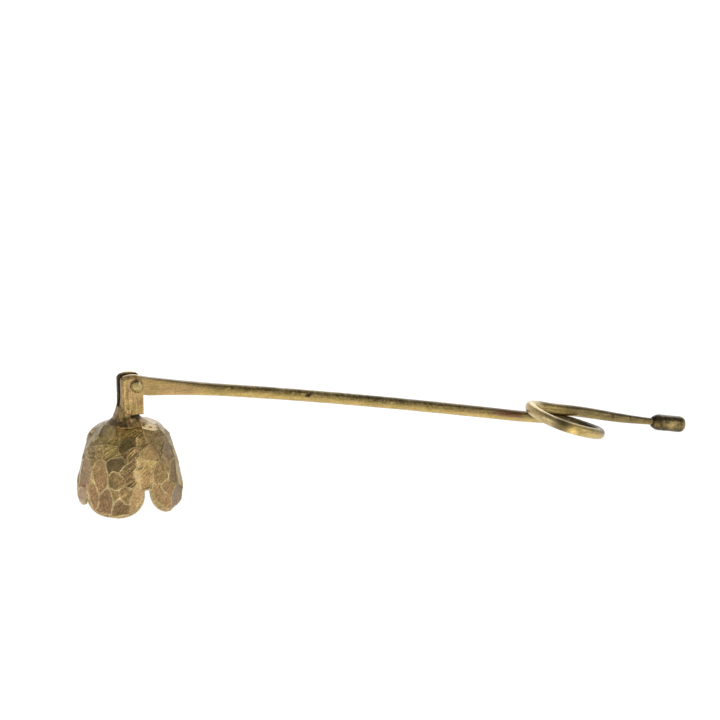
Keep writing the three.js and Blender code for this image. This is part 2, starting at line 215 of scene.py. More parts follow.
# ---------------------------------------------------------------- brass
def brass(name, body=(0.335, 0.222, 0.092), rough=(0.36, 0.50), grain=1.0, streak=None, speck=0.5, rough_wear=0.28,
          bright=(0.60, 0.47, 0.235), painted_glance_sheen=0.75, mottle=1.0):
    """Antiqued brass. The mesh's own values say where it is darker or lighter (tone, in stops, partly painted shade and
    highlight), warmer (hue), worn bright (wear, partly painted highlight), dirty or in painted shade (dirt), scratched
    (scratch) or milky with a painted sheen (pale). streak is the direction of drawn or filed lines, as a scale on each
    axis."""
    dark = (0.016, 0.011, 0.006)
    m = bpy.data.materials.new(name)
    m.use_nodes = True
    t = m.node_tree
    t.nodes.clear()
    N, L = t.nodes, t.links

    def node(kind, **kw):
        x = N.new(kind)
        for k, v in kw.items():
            setattr(x, k, v)
        return x

    def link(a, b):
        L.new(a, b)

    def math_(op, a, b=None, clamp=False):
        x = node("ShaderNodeMath", operation=op, use_clamp=clamp)
        for i, v in enumerate((a, b)):
            if v is None:
                continue
            if isinstance(v, (int, float)):
                x.inputs[i].default_value = v
            else:
                link(v, x.inputs[i])
        return x.outputs[0]

    def rng(v, a, b, c=0.0, d=1.0, smooth=True):
        x = node("ShaderNodeMapRange")
        if smooth:
            x.interpolation_type = "SMOOTHSTEP"
        link(v, x.inputs["Value"])
        for k, val in zip(("From Min", "From Max", "To Min", "To Max"), (a, b, c, d)):
            x.inputs[k].default_value = val
        return x.outputs["Result"]

    def mix(f, a, b, blend="MIX"):
        x = node("ShaderNodeMix", data_type="RGBA", blend_type=blend)
        if isinstance(f, (int, float)):
            x.inputs[0].default_value = f
        else:
            link(f, x.inputs[0])
        for s, v in ((6, a), (7, b)):
            if isinstance(v, tuple):
                x.inputs[s].default_value = (*v, 1)
            else:
                link(v, x.inputs[s])
        return x.outputs[2]

    def grey(v):
        x = node("ShaderNodeCombineColor")
        for i in range(3):
            link(v, x.inputs[i])
        return x.outputs[0]

    def attr(k):
        return node("ShaderNodeAttribute", attribute_name=k).outputs["Fac"]

    def nz(scale, detail=3.0, roughness=0.6, vec=None, distortion=0.0):
        x = node("ShaderNodeTexNoise")
        x.inputs["Scale"].default_value = scale
        x.inputs["Detail"].default_value = detail
        x.inputs["Roughness"].default_value = roughness
        x.inputs["Distortion"].default_value = distortion
        link(vec or mm, x.inputs["Vector"])
        return x.outputs["Fac"]

    tc = node("ShaderNodeTexCoord")
    sc = node("ShaderNodeVectorMath", operation="SCALE")
    sc.inputs["Scale"].default_value = 1000.0
    link(tc.outputs["Object"], sc.inputs[0])
    mm = sc.outputs[0]

    n_big = nz(0.20, 3.0, 0.55)
    n_mid = nz(0.8, 5.0, 0.68, distortion=0.4)
    n_fine = nz(3.2, 4.0, 0.72)
    n_spot = nz(1.7, 2.0, 0.6)
    tone, hue, wear_and_highlight, dirt_and_shade, scr, painted_sheen = (attr(k) for k in ("tone", "hue", "wear_and_highlight", "dirt_and_shade", "scratch", "painted_sheen"))

    # body colour from olive to pinkish, with the red-brown of bare copper at the far end
    lum = lambda c: 0.2126 * c[0] + 0.7152 * c[1] + 0.0722 * c[2]
    Y = lum(body)
    scale = lambda c: tuple(x * Y / lum(c) for x in c)
    olive, pink, red = scale((0.290, 0.210, 0.067)), scale((0.345, 0.208, 0.101)), scale((0.42, 0.15, 0.07))
    h = math_("ADD", hue, math_("MULTIPLY", math_("SUBTRACT", n_mid, 0.5), 1.5))
    h = math_("ADD", h, math_("MULTIPLY", math_("SUBTRACT", n_big, 0.5), 0.8))
    col = mix(rng(h, 0.0, 1.0, smooth=False), olive, pink)
    col = mix(rng(hue, 1.1, 2.4), col, red)
    col = mix(painted_sheen, col, scale((0.300, 0.250, 0.168)))  # painted sheen, mixed towards a milky colour
    # lighter and darker: the facet's own tone, which also carries painted shade and painted highlights, blotches, and
    # fine grain
    st = math_("ADD", tone, math_("MULTIPLY", math_("SUBTRACT", n_big, 0.5), 0.9 * mottle))
    st = math_("ADD", st, math_("MULTIPLY", math_("SUBTRACT", n_mid, 0.5), 1.9 * mottle))
    st = math_("ADD", st, math_("MULTIPLY", math_("SUBTRACT", n_fine, 0.5), 2.1 * grain))
    st = math_("ADD", st, math_("MULTIPLY", math_("SUBTRACT", n_spot, 0.5), 2.2 * grain))
    # strokes of file or chisel, rising to the right
    rot = node("ShaderNodeMapping")
    rot.inputs["Rotation"].default_value = (0, math.radians(38), 0)
    link(mm, rot.inputs["Vector"])
    rot2 = node("ShaderNodeMapping")
    rot2.inputs["Scale"].default_value = (0.22, 0.5, 1.9)
    link(rot.outputs[0], rot2.inputs["Vector"])
    lines = nz(1.0, 3.0, 0.6, rot2.outputs[0], 0.6)
    st = math_("ADD", st, math_("MULTIPLY", math_("MULTIPLY", math_("SUBTRACT", lines, 0.5), 10.0), scr))
    if streak:
        mp = node("ShaderNodeMapping")
        mp.inputs["Scale"].default_value = streak
        link(mm, mp.inputs["Vector"])
        drawn = nz(1.0, 3.0, 0.6, mp.outputs[0])
        st = math_("ADD", st, math_("MULTIPLY", math_("SUBTRACT", drawn, 0.5), 1.9))
    col = mix(1.0, col, grey(math_("POWER", 2.0, st)), "MULTIPLY")
    # specks of tarnish
    v = node("ShaderNodeTexVoronoi", feature="F1")
    v.inputs["Scale"].default_value = 0.85
    link(mm, v.inputs["Vector"])
    sp = math_("MULTIPLY", rng(v.outputs["Distance"], 0.26, 0.10), rng(nz(0.5, 2.0), 0.52, 0.66))
    sp = math_("MULTIPLY", sp, speck, clamp=True)
    col = mix(sp, col, dark)
    # worn bright on ridges and rims, broken up; the same values also carry painted highlights
    w = math_("MULTIPLY", wear_and_highlight, rng(n_mid, 0.3, 0.6, 0.25, 1.15), clamp=True)
    w = math_("MULTIPLY", w, rng(n_fine, 0.25, 0.6, 0.6, 1.1), clamp=True)
    col = mix(w, col, bright)
    # darkened by grime and by painted shade, both carried in one value
    d = math_("MULTIPLY", dirt_and_shade, rng(n_mid, 0.2, 0.6, 1.0, 0.7), clamp=True)
    col = mix(d, col, dark)
    # painted sheen: seen at a glancing angle the colour is mixed towards whitish grey, standing in for the lacquer's
    # reflection
    lw = node("ShaderNodeLayerWeight")
    lw.inputs["Blend"].default_value = 0.5
    glance_sheen_amount = math_("MULTIPLY", rng(lw.outputs["Facing"], 0.66, 0.99), painted_glance_sheen)
    glance_sheen_amount = math_("MULTIPLY", glance_sheen_amount, math_("SUBTRACT", 1.0, d))
    glance_sheen_amount = math_("MULTIPLY", glance_sheen_amount, rng(n_mid, 0.3, 0.6, 0.55, 1.0))
    col = mix(glance_sheen_amount, col, (0.60, 0.55, 0.46))

    r = rng(n_mid, 0.3, 0.7, rough[0], rough[1], smooth=False)
    r = math_("ADD", r, math_("MULTIPLY", math_("SUBTRACT", n_fine, 0.5), 0.16))
    r = math_("ADD", r, math_("MULTIPLY", d, 0.3))
    x = node("ShaderNodeMix", data_type="FLOAT")
    link(w, x.inputs[0])
    link(r, x.inputs[2])
    x.inputs[3].default_value = rough_wear
    r = math_("MAXIMUM", x.outputs[0], 0.12, clamp=True)

    # surface: fine pitting, and scratches along the piece
    hgt = math_("MULTIPLY", n_fine, 0.5)
    hgt = math_("ADD", hgt, math_("MULTIPLY", n_mid, 0.7))
    hgt = math_("SUBTRACT", hgt, math_("MULTIPLY", sp, 0.8))
    hgt = math_("ADD", hgt, math_("MULTIPLY", math_("MULTIPLY", lines, 2.5), scr))
    if streak:
        hgt = math_("ADD", hgt, drawn)
    bump = node("ShaderNodeBump")
    bump.inputs["Strength"].default_value = 0.6
    bump.inputs["Distance"].default_value = 0.00008
    link(hgt, bump.inputs["Height"])

    p = node("ShaderNodeBsdfPrincipled")
    p.inputs["Metallic"].default_value = 1.0
    p.inputs["Coat Weight"].default_value = 0.15
    p.inputs["Coat Roughness"].default_value = 0.35
    link(col, p.inputs["Base Color"])
    link(r, p.inputs["Roughness"])
    link(bump.outputs[0], p.inputs["Normal"])
    o = node("ShaderNodeOutputMaterial")
    link(p.outputs[0], o.inputs[0])
    return m


# ---------------------------------------------------------------- bell
OUTER = np.array([
    [18.8, 0], [19.3, 1.5], [19.75, 3.4], [20.0, 5.2], [20.1, 7.0], [19.85, 9.2], [19.35, 11.6], [18.8, 14.2],
    [18.2, 17.2], [17.6, 20.0], [16.9, 22.6], [16.05, 25.0], [15.0, 27.1], [13.6, 28.75], [11.9, 29.95], [10.1, 30.85],
    [8.2, 31.65], [6.2, 32.35], [4.6, 32.8], [3.3, 33.0],
])[::-1]  # r, z, from the crown's hole down to the rim
WALL = 1.5
LOBE_CUT_H, LOBE_R = 10.9, 19.4
SLIT_AZ = [-87, -10, 58, 126.5, 198.0]
SLIT_W = [2.0, 2.0, 2.0, 2.0, 0.7]
LOBE_FOOT = [0, 0, 0, 2.0, 0]
LOBE_POWER = [(2.3, 3.8), (2.3, 2.3), (2.3, 2.3), (2.3, 7.0), (2.9, 2.3)]  # how square each side of a lobe is
RIDGE = 0.34  # how far the ridges between the hammer marks stand above the bottoms of the marks


def hermite(P, n=24):
    """Dense points of a smooth curve through P."""
    d = np.linalg.norm(np.diff(P, axis=0), axis=1)
    u = np.concatenate([[0], np.cumsum(d)])
    m = np.gradient(P, u, axis=0)
    out = []
    for i in range(len(P) - 1):
        t = np.linspace(0, 1, n, endpoint=False)[:, None]
        hh = u[i + 1] - u[i]
        out.append((2 * t**3 - 3 * t**2 + 1) * P[i] + (t**3 - 2 * t**2 + t) * hh * m[i] + (-2 * t**3 + 3 * t**2) * P[i + 1] + (t**3 - t**2) * hh * m[i + 1])
    return np.concatenate(out + [P[-1:]])


PROF = hermite(OUTER)
PS = np.concatenate([[0], np.cumsum(np.linalg.norm(np.diff(PROF, axis=0), axis=1))])
_t = np.gradient(PROF, PS, axis=0)
_t /= np.linalg.norm(_t, axis=1)[:, None]
PN = np.stack([-_t[:, 1], _t[:, 0]], 1)  # outward normal in (r, z)
S_END = PS[-1]


def prof(s):
    return (np.interp(s, PS, PROF[:, 0]), np.interp(s, PS, PROF[:, 1]), np.interp(s, PS, PN[:, 0]), np.interp(s, PS, PN[:, 1]))


def s_of_z(z):
    return np.interp(-np.asarray(z), -PROF[:, 1], PS)


def rim_curve(count):
    """The rim as a closed line of points (X = azimuth in rad * LOBE_R, s), evenly spaced, and which lobe each is in."""
    X, Z, sector = [], [], []
    for i in range(5):
        a0 = SLIT_AZ[i]
        a1 = SLIT_AZ[i + 1] if i < 4 else SLIT_AZ[0] + 360
        x0, x1 = math.radians(a0) * LOBE_R, math.radians(a1) * LOBE_R
        x0, x1 = x0 + SLIT_W[i] / 2, x1 - SLIT_W[(i + 1) % 5] / 2
        c, half = (x0 + x1) / 2, (x1 - x0) / 2
        u = np.sin(np.linspace(-math.pi / 2, math.pi / 2, 801))
        foot = LOBE_FOOT[i]
        p = np.where(u < 0, *LOBE_POWER[i])
        z = foot + (LOBE_CUT_H - foot) * (1 - (1 - np.abs(u) ** p) ** (1 / p)) - 0.1
        X += [x0 - SLIT_W[i] / 2] + list(c + u * half)
        Z += [LOBE_CUT_H - 0.1] + list(z)
    X, Z = np.array(X), np.maximum(np.array(Z), 0.0)
    S = s_of_z(Z)
    period = 2 * math.pi * LOBE_R
    Xc, Sc = np.append(X, X[0] + period), np.append(S, S[0])
    L = np.concatenate([[0], np.cumsum(np.hypot(np.diff(Xc), np.diff(Sc)))])
    fine = np.linspace(0, L[-1], 4000, endpoint=False)
    Xf, Sf = np.interp(fine, L, Xc), np.interp(fine, L, Sc)
    # round the corners of the slits, and leave the small unevenness of hand cutting
    k = np.exp(-0.5 * (np.arange(-24, 25) / 7.0) ** 2)
    k /= k.sum()
    base = fine / L[-1] * period + Xf[0]
    dX = Xf - base
    dX = np.convolve(np.concatenate([dX[-24:], dX, dX[:24]]), k, "valid")
    Sf = np.convolve(np.concatenate([Sf[-24:], Sf, Sf[:24]]), k, "valid")
    Xf = base + dX
    Sf = Sf - 0.10 * np.abs(np.sin(fine / L[-1] * math.pi * 23 + 0.7)) - 0.07 * np.sin(fine / L[-1] * 2 * math.pi * 41 + 2.0) ** 2
    # even spacing again
    Xc, Sc = np.append(Xf, Xf[0] + period), np.append(Sf, Sf[0])
    L = np.concatenate([[0], np.cumsum(np.hypot(np.diff(Xc), np.diff(Sc)))])
    at = np.linspace(0, L[-1], count, endpoint=False)
    return np.interp(at, L, Xc), np.interp(at, L, Sc), period


# Hammer facets of the front half, as (tone, warmth, worn, scratched, corners as azimuth in degrees and height in mm).
FACETS = [
    (0.43, 0.3, 0.00, 0.10, (-205, 31.4), (-186, 31.4), (-168, 28.9), (-176, 24.3), (-187, 23.3), (-198, 25.3), (-204, 27.7), (-205, 30.1)),
    (0.09, 0.1, 0.00, 0.15, (-186, 31.4), (-150, 32.2), (-132, 30.4), (-140, 28.7), (-147, 27.4), (-158, 25.9), (-176, 24.3), (-168, 28.9)),
    (0.84, 0.1, 0.00, 0.25, (-150, 32.2), (-110, 32.8), (-60, 32.3), (-72, 31.4), (-81, 29.5), (-94, 29.9), (-108, 29.8), (-118, 29.3), (-130, 30.3)),
    (0.21, 0.1, 0.00, 0.30, (-130, 30.3), (-118, 29.2), (-120, 27.9), (-122, 27.0), (-134, 27.2), (-147, 27.4), (-140, 28.7)),
    (-0.82, 0.1, 0.00, 0.50, (-145, 26.5), (-147, 27.4), (-134, 27.2), (-122, 27.0), (-121, 25.6), (-117, 24.2), (-117, 23.2), (-130, 22.8), (-136, 21.4), (-143, 22.4), (-142, 23.9)),
    (-1.01, 0.2, 0.00, 0.10, (-118, 29.1), (-108, 29.7), (-95, 29.4), (-96, 27.2), (-102, 26.5), (-118, 24.4), (-121, 25.6), (-122, 27.0), (-120, 27.9)),
    (-0.33, 0.3, 0.00, 0.45, (-178, 23.8), (-158, 25.9), (-145, 26.5), (-142, 23.9), (-144, 22.1), (-149, 21.6), (-157, 17.9), (-162, 19.8), (-166, 21.1)),
    (-0.02, 0.2, 0.00, 0.10, (-186, 23.2), (-178, 23.7), (-166, 21.1), (-173, 20.6), (-184, 18.7), (-188, 21.0)),
    (-0.33, 0.9, 0.00, 0.10, (-173, 20.5), (-164, 20.0), (-158, 17.7), (-166, 15.8), (-178, 15.9), (-186, 17.9)),
    (-0.22, 0.7, 0.00, 0.10, (-146, 21.8), (-140, 21.1), (-136, 19.5), (-134, 17.6), (-132, 15.4), (-132, 12.9), (-136, 10.9), (-142, 9.1), (-146, 10.7), (-150, 12.5), (-154, 15.0), (-156, 17.5), (-152, 19.8)),
    (-1.77, 0.4, 0.00, 0.15, (-136, 21.4), (-130, 22.8), (-117, 23.2), (-116, 23.9), (-110, 20.9), (-118, 18.3), (-120, 18.0), (-128, 17.8), (-131, 16.2), (-134, 17.6), (-136, 19.5)),
    (-0.64, 0.5, 0.00, 1.00, (-118, 24.4), (-102, 26.5), (-96, 26.3), (-92, 24.9), (-92, 23.6), (-98, 22.6), (-106, 21.4), (-110, 20.9), (-116, 23.2)),
    (0.23, 0.3, 0.00, 0.30, (-95, 29.4), (-89, 29.7), (-80, 29.5), (-78, 28.2), (-76, 26.9), (-84, 26.3), (-91, 25.1), (-96, 26.3), (-96, 27.2)),
    (-0.11, 0.3, 0.00, 0.10, (-72, 31.4), (-59, 30.7), (-40, 29.8), (-36, 26.9), (-66, 27.8), (-76, 26.9), (-78, 28.2), (-80, 29.5)),
    (0.54, 0.3, 0.10, 0.10, (-29, 32.9), (-14, 32.3), (-20, 30.7), (-36, 29.8), (-50, 30.1), (-59, 30.7), (-72, 31.4), (-60, 32.3)),
    (-0.01, 0.3, 0.00, 0.10, (-36, 29.8), (-22, 28.8), (-16, 26.0), (-17, 23.5), (-22, 18.7), (-33, 19.0), (-30, 22.5), (-34, 25.1), (-36, 26.9)),
    (-0.68, 0.4, 0.00, 0.10, (-66, 27.8), (-36, 26.9), (-42, 26.0), (-54, 24.8), (-60, 21.7), (-66, 21.0), (-66, 23.0), (-76, 26.9)),
    (-0.33, 0.5, 0.00, 0.10, (-76, 26.9), (-71, 25.0), (-66, 23.0), (-66, 21.0), (-71, 20.9), (-86, 21.8), (-92, 23.6), (-91, 25.1), (-84, 26.3)),
    (-0.61, 0.7, 0.00, 0.10, (-40, 26.2), (-34, 25.1), (-30, 22.5), (-33, 19.0), (-50, 19.2), (-60, 21.7), (-54, 24.8)),
    (-0.46, 0.5, 0.00, 0.10, (-60, 21.7), (-50, 19.2), (-46, 18.7), (-50, 16.1), (-55, 14.4), (-58, 16.2), (-59, 18.6), (-64, 20.0), (-66, 21.0)),
    (-0.84, 0.6, 0.00, 0.10, (-46, 19.0), (-33, 18.9), (-36, 14.8), (-39, 10.3), (-46, 10.1), (-53, 11.6), (-57, 13.1), (-55, 14.4), (-50, 16.1)),
    (-0.12, 0.3, 0.00, 0.10, (-33, 19.0), (-22, 18.6), (-18, 13.1), (-24, 9.3), (-26, 6.8), (-39, 10.3), (-36, 14.8)),
    (0.52, 0.4, 0.25, 0.30, (-92, 23.6), (-86, 21.8), (-71, 20.9), (-66, 21.0), (-72, 19.2), (-78, 17.4), (-84, 19.0), (-92, 19.2), (-98, 19.0), (-96, 20.5), (-98, 22.6)),
    (-0.43, 0.5, 0.00, 0.10, (-64, 20.0), (-59, 18.6), (-58, 16.2), (-56, 14.2), (-58, 13.2), (-68, 12.2), (-76, 12.5), (-78, 15.1), (-78, 17.4), (-72, 19.2)),
    (0.50, 0.7, 0.00, 0.30, (-94, 18.4), (-89, 19.1), (-84, 19.0), (-78, 17.4), (-78, 15.1), (-80, 13.1), (-84, 12.0), (-90, 11.6), (-94, 12.4), (-94, 15.3)),
    (-0.65, 0.6, 0.00, 0.85, (-118, 18.2), (-110, 20.9), (-108, 20.9), (-106, 21.4), (-98, 22.6), (-96, 20.5), (-101, 18.3), (-101, 15.9), (-98, 13.8), (-100, 12.3), (-104, 12.0), (-105, 12.1), (-110, 12.6), (-112, 15.5), (-117, 17.1)),
    (1.00, 0.4, 1.00, 0.10, (-101, 18.3), (-98, 19.0), (-94, 18.4), (-94, 15.3), (-94, 12.4), (-100, 12.3), (-98, 13.8), (-101, 15.9)),
    (-0.35, 0.6, 0.00, 0.25, (-57, 13.1), (-53, 11.6), (-46, 10.1), (-46, 9.2), (-53, 7.6), (-56, 5.7), (-64, 8.5), (-69, 10.2), (-69, 12.1)),
    (-0.64, 0.8, 0.00, 0.10, (-46, 10.1), (-39, 10.3), (-30, 7.2), (-22, 2.9), (-24, 0.7), (-38, 0.0), (-53, 0.3), (-56, 5.7), (-53, 7.6)),
    (-0.05, 0.7, 0.00, 0.35, (-80, 13.1), (-76, 12.5), (-69, 12.1), (-69, 10.2), (-64, 8.5), (-56, 5.7), (-53, 0.3), (-66, 2.6), (-75, 5.8), (-79, 8.5), (-80, 10.7)),
    (0.38, 0.8, 0.15, 0.10, (-100, 12.3), (-94, 12.4), (-94, 11.6), (-92, 9.7), (-94, 7.7), (-99, 5.2), (-106, 3.4), (-107, 6.6), (-104, 9.5)),
    (-0.20, 0.6, 0.00, 0.40, (-114, 12.7), (-110, 12.6), (-105, 12.1), (-104, 12.0), (-100, 12.3), (-104, 9.5), (-106, 6.9), (-106, 6.0), (-112, 6.1), (-116, 8.2), (-119, 10.0), (-118, 11.6)),
    (-0.73, 0.5, 0.00, 0.30, (-128, 17.8), (-124, 18.0), (-118, 17.0), (-112, 15.5), (-111, 14.0), (-114, 12.7), (-118, 11.6), (-124, 11.2), (-130, 12.3), (-132, 15.4), (-131, 16.5)),
    (-0.17, 1.0, 0.00, 0.10, (-158, 11.8), (-152, 13.2), (-146, 10.7), (-142, 9.1), (-142, 7.3), (-144, 4.0), (-149, 2.2), (-154, 5.4), (-158, 8.4)),
    (0.52, 0.3, 0.30, 0.10, (-158, 17.5), (-156, 17.5), (-154, 15.0), (-150, 12.5), (-158, 11.8), (-159, 9.7), (-159, 11.3), (-156, 14.5)),
    (-0.55, 0.9, 0.00, 0.10, (-142, 9.1), (-136, 10.9), (-131, 12.0), (-128, 10.6), (-126, 8.6), (-125, 6.4), (-128, 1.6), (-136, 1.2), (-149, 2.2), (-144, 4.0), (-142, 7.3)),
    (-0.49, 0.4, 0.00, 0.10, (-130, 12.3), (-124, 11.2), (-118, 11.6), (-119, 10.0), (-117, 8.5), (-124, 6.4), (-126, 8.6), (-128, 10.6)),
    (-0.69, 0.8, 0.00, 0.20, (-124, 6.4), (-117, 8.5), (-112, 6.1), (-106, 6.0), (-107, 6.6), (-106, 3.4), (-108, 1.9), (-125, 0.7), (-128, 1.6)),
    (-0.29, 0.8, 0.00, 0.10, (-186, 17.9), (-178, 15.9), (-166, 15.8), (-158, 17.7), (-156, 17.4), (-158, 12.2), (-164, 10.0), (-180, 8.3), (-184, 12.4)),
    (-0.09, 0.8, 0.00, 0.10, (-180, 8.3), (-164, 10.0), (-158, 8.4), (-156, 6.3), (-170, 4.1), (-189, 2.3), (-192, 4.5)),
]
# chisel strokes cut across the crown in front of the fork: from and to, azimuth and height
STROKES = [((-105, 30.1), (-82, 31.2)), ((-96, 30.0), (-78, 30.9)), ((-112, 30.6), (-86, 31.5)), ((-88, 29.9), (-80, 30.2)), ((-60, 32.0), (-55, 31.9)), ((-45, 31.3), (-40, 31.1))]


def on_bell(az, z):
    s = s_of_z(z)
    r, zz, nr, nz_ = prof(s)
    return np.array([r * math.cos(az), r * math.sin(az), zz]), np.array([nr * math.cos(az), nr * math.sin(az), nz_])


def polygon_distance(q, poly):
    """Signed distance of 2-D points from a polygon, positive inside."""
    d = np.full(len(q), 1e9)
    inside = np.zeros(len(q), bool)
    for i in range(len(poly)):
        a, b = poly[i], poly[(i + 1) % len(poly)]
        e = b - a
        w = q - a
        t = np.clip((w @ e) / (e @ e + 1e-12), 0, 1)
        d = np.minimum(d, np.linalg.norm(w - t[:, None] * e, axis=1))
        c = ((a[1] > q[:, 1]) != (b[1] > q[:, 1])) & (q[:, 0] < (b[0] - a[0]) * (q[:, 1] - a[1]) / (b[1] - a[1] + 1e-12) + a[0])
        inside ^= c
    return np.where(inside, d, -d)


def front_facets(P):
    """Distance inside each front facet, and its plane's height, at points P."""
    out = []
    for tone, hue, worn, scratched, *corners in FACETS:
        c3 = np.array([on_bell(math.radians(a), z)[0] for a, z in corners])
        c = c3.mean(0)
        _, _, vt = np.linalg.svd(c3 - c)
        m = vt[2]
        if m @ (c - np.array([0, 0, 12.0])) < 0:
            m = -m
        n0 = on_bell(math.atan2(c[1], c[0]), c[2])[1]
        m = m + n0 * 1.1  # narrow outlines do not fix a plane well, so lean on the smooth surface
        m /= np.linalg.norm(m)
        u = vt[0] - m * (vt[0] @ m)
        u /= np.linalg.norm(u)
        v = np.cross(m, u)
        near = ((P - c) ** 2).sum(1) < 13.0**2
        d = -np.sqrt(((P - c) ** 2).sum(1)) - 20
        q = P[near] - c
        d[near] = polygon_distance(np.stack([q @ u, q @ v], 1), np.stack([(c3 - c) @ u, (c3 - c) @ v], 1))
        out.append((d, c, m))
    return out


def hammered(P, nP):
    """Height of the hammered surface over the smooth one at points P with normals nP, and the facets' own values."""
    rng = np.random.default_rng(11)
    Pj = P + 0.22 * np.stack([noise(P, 1.9, 5), noise(P, 1.9, 6), noise(P, 1.9, 7)], -1)
    front = front_facets(Pj)
    best_front = np.max([f[0] for f in front], axis=0)
    # seeds of the facets everywhere else
    seeds = []
    tries = 0
    while tries < 7000:
        tries += 1
        z = rng.uniform(-1.0, 33.0)
        az = rng.uniform(-math.pi, math.pi)
        p, n = on_bell(az, max(z, 0))
        p[2] = z if z < 0 else p[2]
        if rng.uniform() > math.hypot(p[0], p[1]) / 20.2:
            continue
        if seeds and (((np.array([q[0] for q in seeds]) - p) * np.array([1, 1, 0.82])) ** 2).sum(1).min() < 5.3**2:
            continue
        k = ((P - p) ** 2).sum(1).argmin()
        if best_front[k] > -2.0:
            continue
        seeds.append((p, n))
    D, wear_and_highlight = np.empty(len(P)), np.empty(len(P))
    S = np.array([q[0] for q in seeds])
    SN = np.array([q[1] for q in seeds]) + rng.normal(0, math.radians(2.2), (len(S), 3))
    SN /= np.linalg.norm(SN, axis=1)[:, None]
    ns = len(S)
    vt, vh, vw, vs = ([row[i] for row in FACETS] for i in range(4))
    vt = np.array(list(vt) + list(rng.normal(-0.05, 0.28, ns)))
    vh = np.array(list(vh) + list(rng.uniform(0.1, 0.9, ns)))
    vw = np.array(list(vw) + list(np.where(rng.uniform(size=ns) < 0.08, 0.5, 0.0)))
    vs = np.array(list(vs) + list(np.where(rng.uniform(size=ns) < 0.14, 0.7, 0.12)))
    tone, hue, worn, scr = (np.empty(len(P)) for _ in range(4))
    FD = np.array([f[0] for f in front]).T
    FC = np.array([f[1] for f in front])
    FM = np.array([f[2] for f in front])
    for i in range(0, len(P), 4000):
        p, n, true = Pj[i: i + 4000], nP[i: i + 4000], P[i: i + 4000]
        d2 = ((p[:, None] - S[None]) ** 2).sum(-1)
        o = np.argsort(d2, axis=1)[:, :5]
        bd = np.full(d2.shape, -30.0)
        for j in range(5):
            m = np.full(len(p), 1e9)
            for l in range(5):
                if l == j:
                    continue
                gap = np.linalg.norm(S[o[:, l]] - S[o[:, j]], axis=1)
                m = np.minimum(m, (d2[np.arange(len(p)), o[:, l]] - d2[np.arange(len(p)), o[:, j]]) / (2 * gap))
            bd[np.arange(len(p)), o[:, j]] = m
        bd = np.minimum(bd, -best_front[i: i + 4000, None])
        dist = np.concatenate([FD[i: i + 4000], bd], 1)
        C = np.concatenate([FC, S - SN * 0.24])
        M = np.concatenate([FM, SN])
        d = np.clip(dist, -12, None)
        top = d.max(1, keepdims=True)
        w = np.exp((d - top) / (0.13 + 0.22 * smoothstep(23.5, 30.0, true[:, 2:3])))
        w /= w.sum(1, keepdims=True)
        h = ((C[None] - true[:, None]) * M[None]).sum(-1) / np.clip(n @ M.T, 0.5, 1)
        dish = 0.07 * smoothstep(0.0, 1.6, d)
        h = np.where(w > 1e-4, np.clip(h, -0.9, 0.5) - dish, 0.0)
        D[i: i + 4000] = (w * h).sum(1)
        srt = np.sort(d, axis=1)
        edge = (srt[:, -1] - srt[:, -2]) / 2
        wear_and_highlight[i: i + 4000] = smoothstep(0.36, 0.06, edge)
        wv = np.exp((d - top) / 0.22)
        wv /= wv.sum(1, keepdims=True)
        tone[i: i + 4000] = wv @ vt
        hue[i: i + 4000] = wv @ vh
        worn[i: i + 4000] = wv @ vw
        scr[i: i + 4000] = wv @ vs
    # rough strokes within the scratched facets, rising to the right as seen from outside
    az = np.arctan2(P[:, 1], P[:, 0])
    across = (az * 19 - P[:, 2]) * 0.707
    along = (az * 19 + P[:, 2]) * 0.707
    A = np.stack([across, along, 0 * az], -1)
    stroke = 1 - np.abs(noise(A, (0.55, 2.6, 1), 25)) * 2
    D -= 0.085 * scr * np.clip(stroke, 0, 1)
    cut = np.zeros(len(P))
    for a, b in STROKES:
        p0, p1 = on_bell(math.radians(a[0]), a[1])[0], on_bell(math.radians(b[0]), b[1])[0]
        e = p1 - p0
        t = np.clip(((P - p0) @ e) / (e @ e), 0, 1)
        q = p0 + t[:, None] * e
        dd = np.linalg.norm(P + 0.12 * np.stack([noise(P, 0.8, 26), noise(P, 0.8, 27), 0 * az], -1) - q, axis=1)
        cut = np.maximum(cut, smoothstep(0.42, 0.1, dd))
    D -= 0.26 * cut
    return D, wear_and_highlight, tone, hue, worn, scr, cut


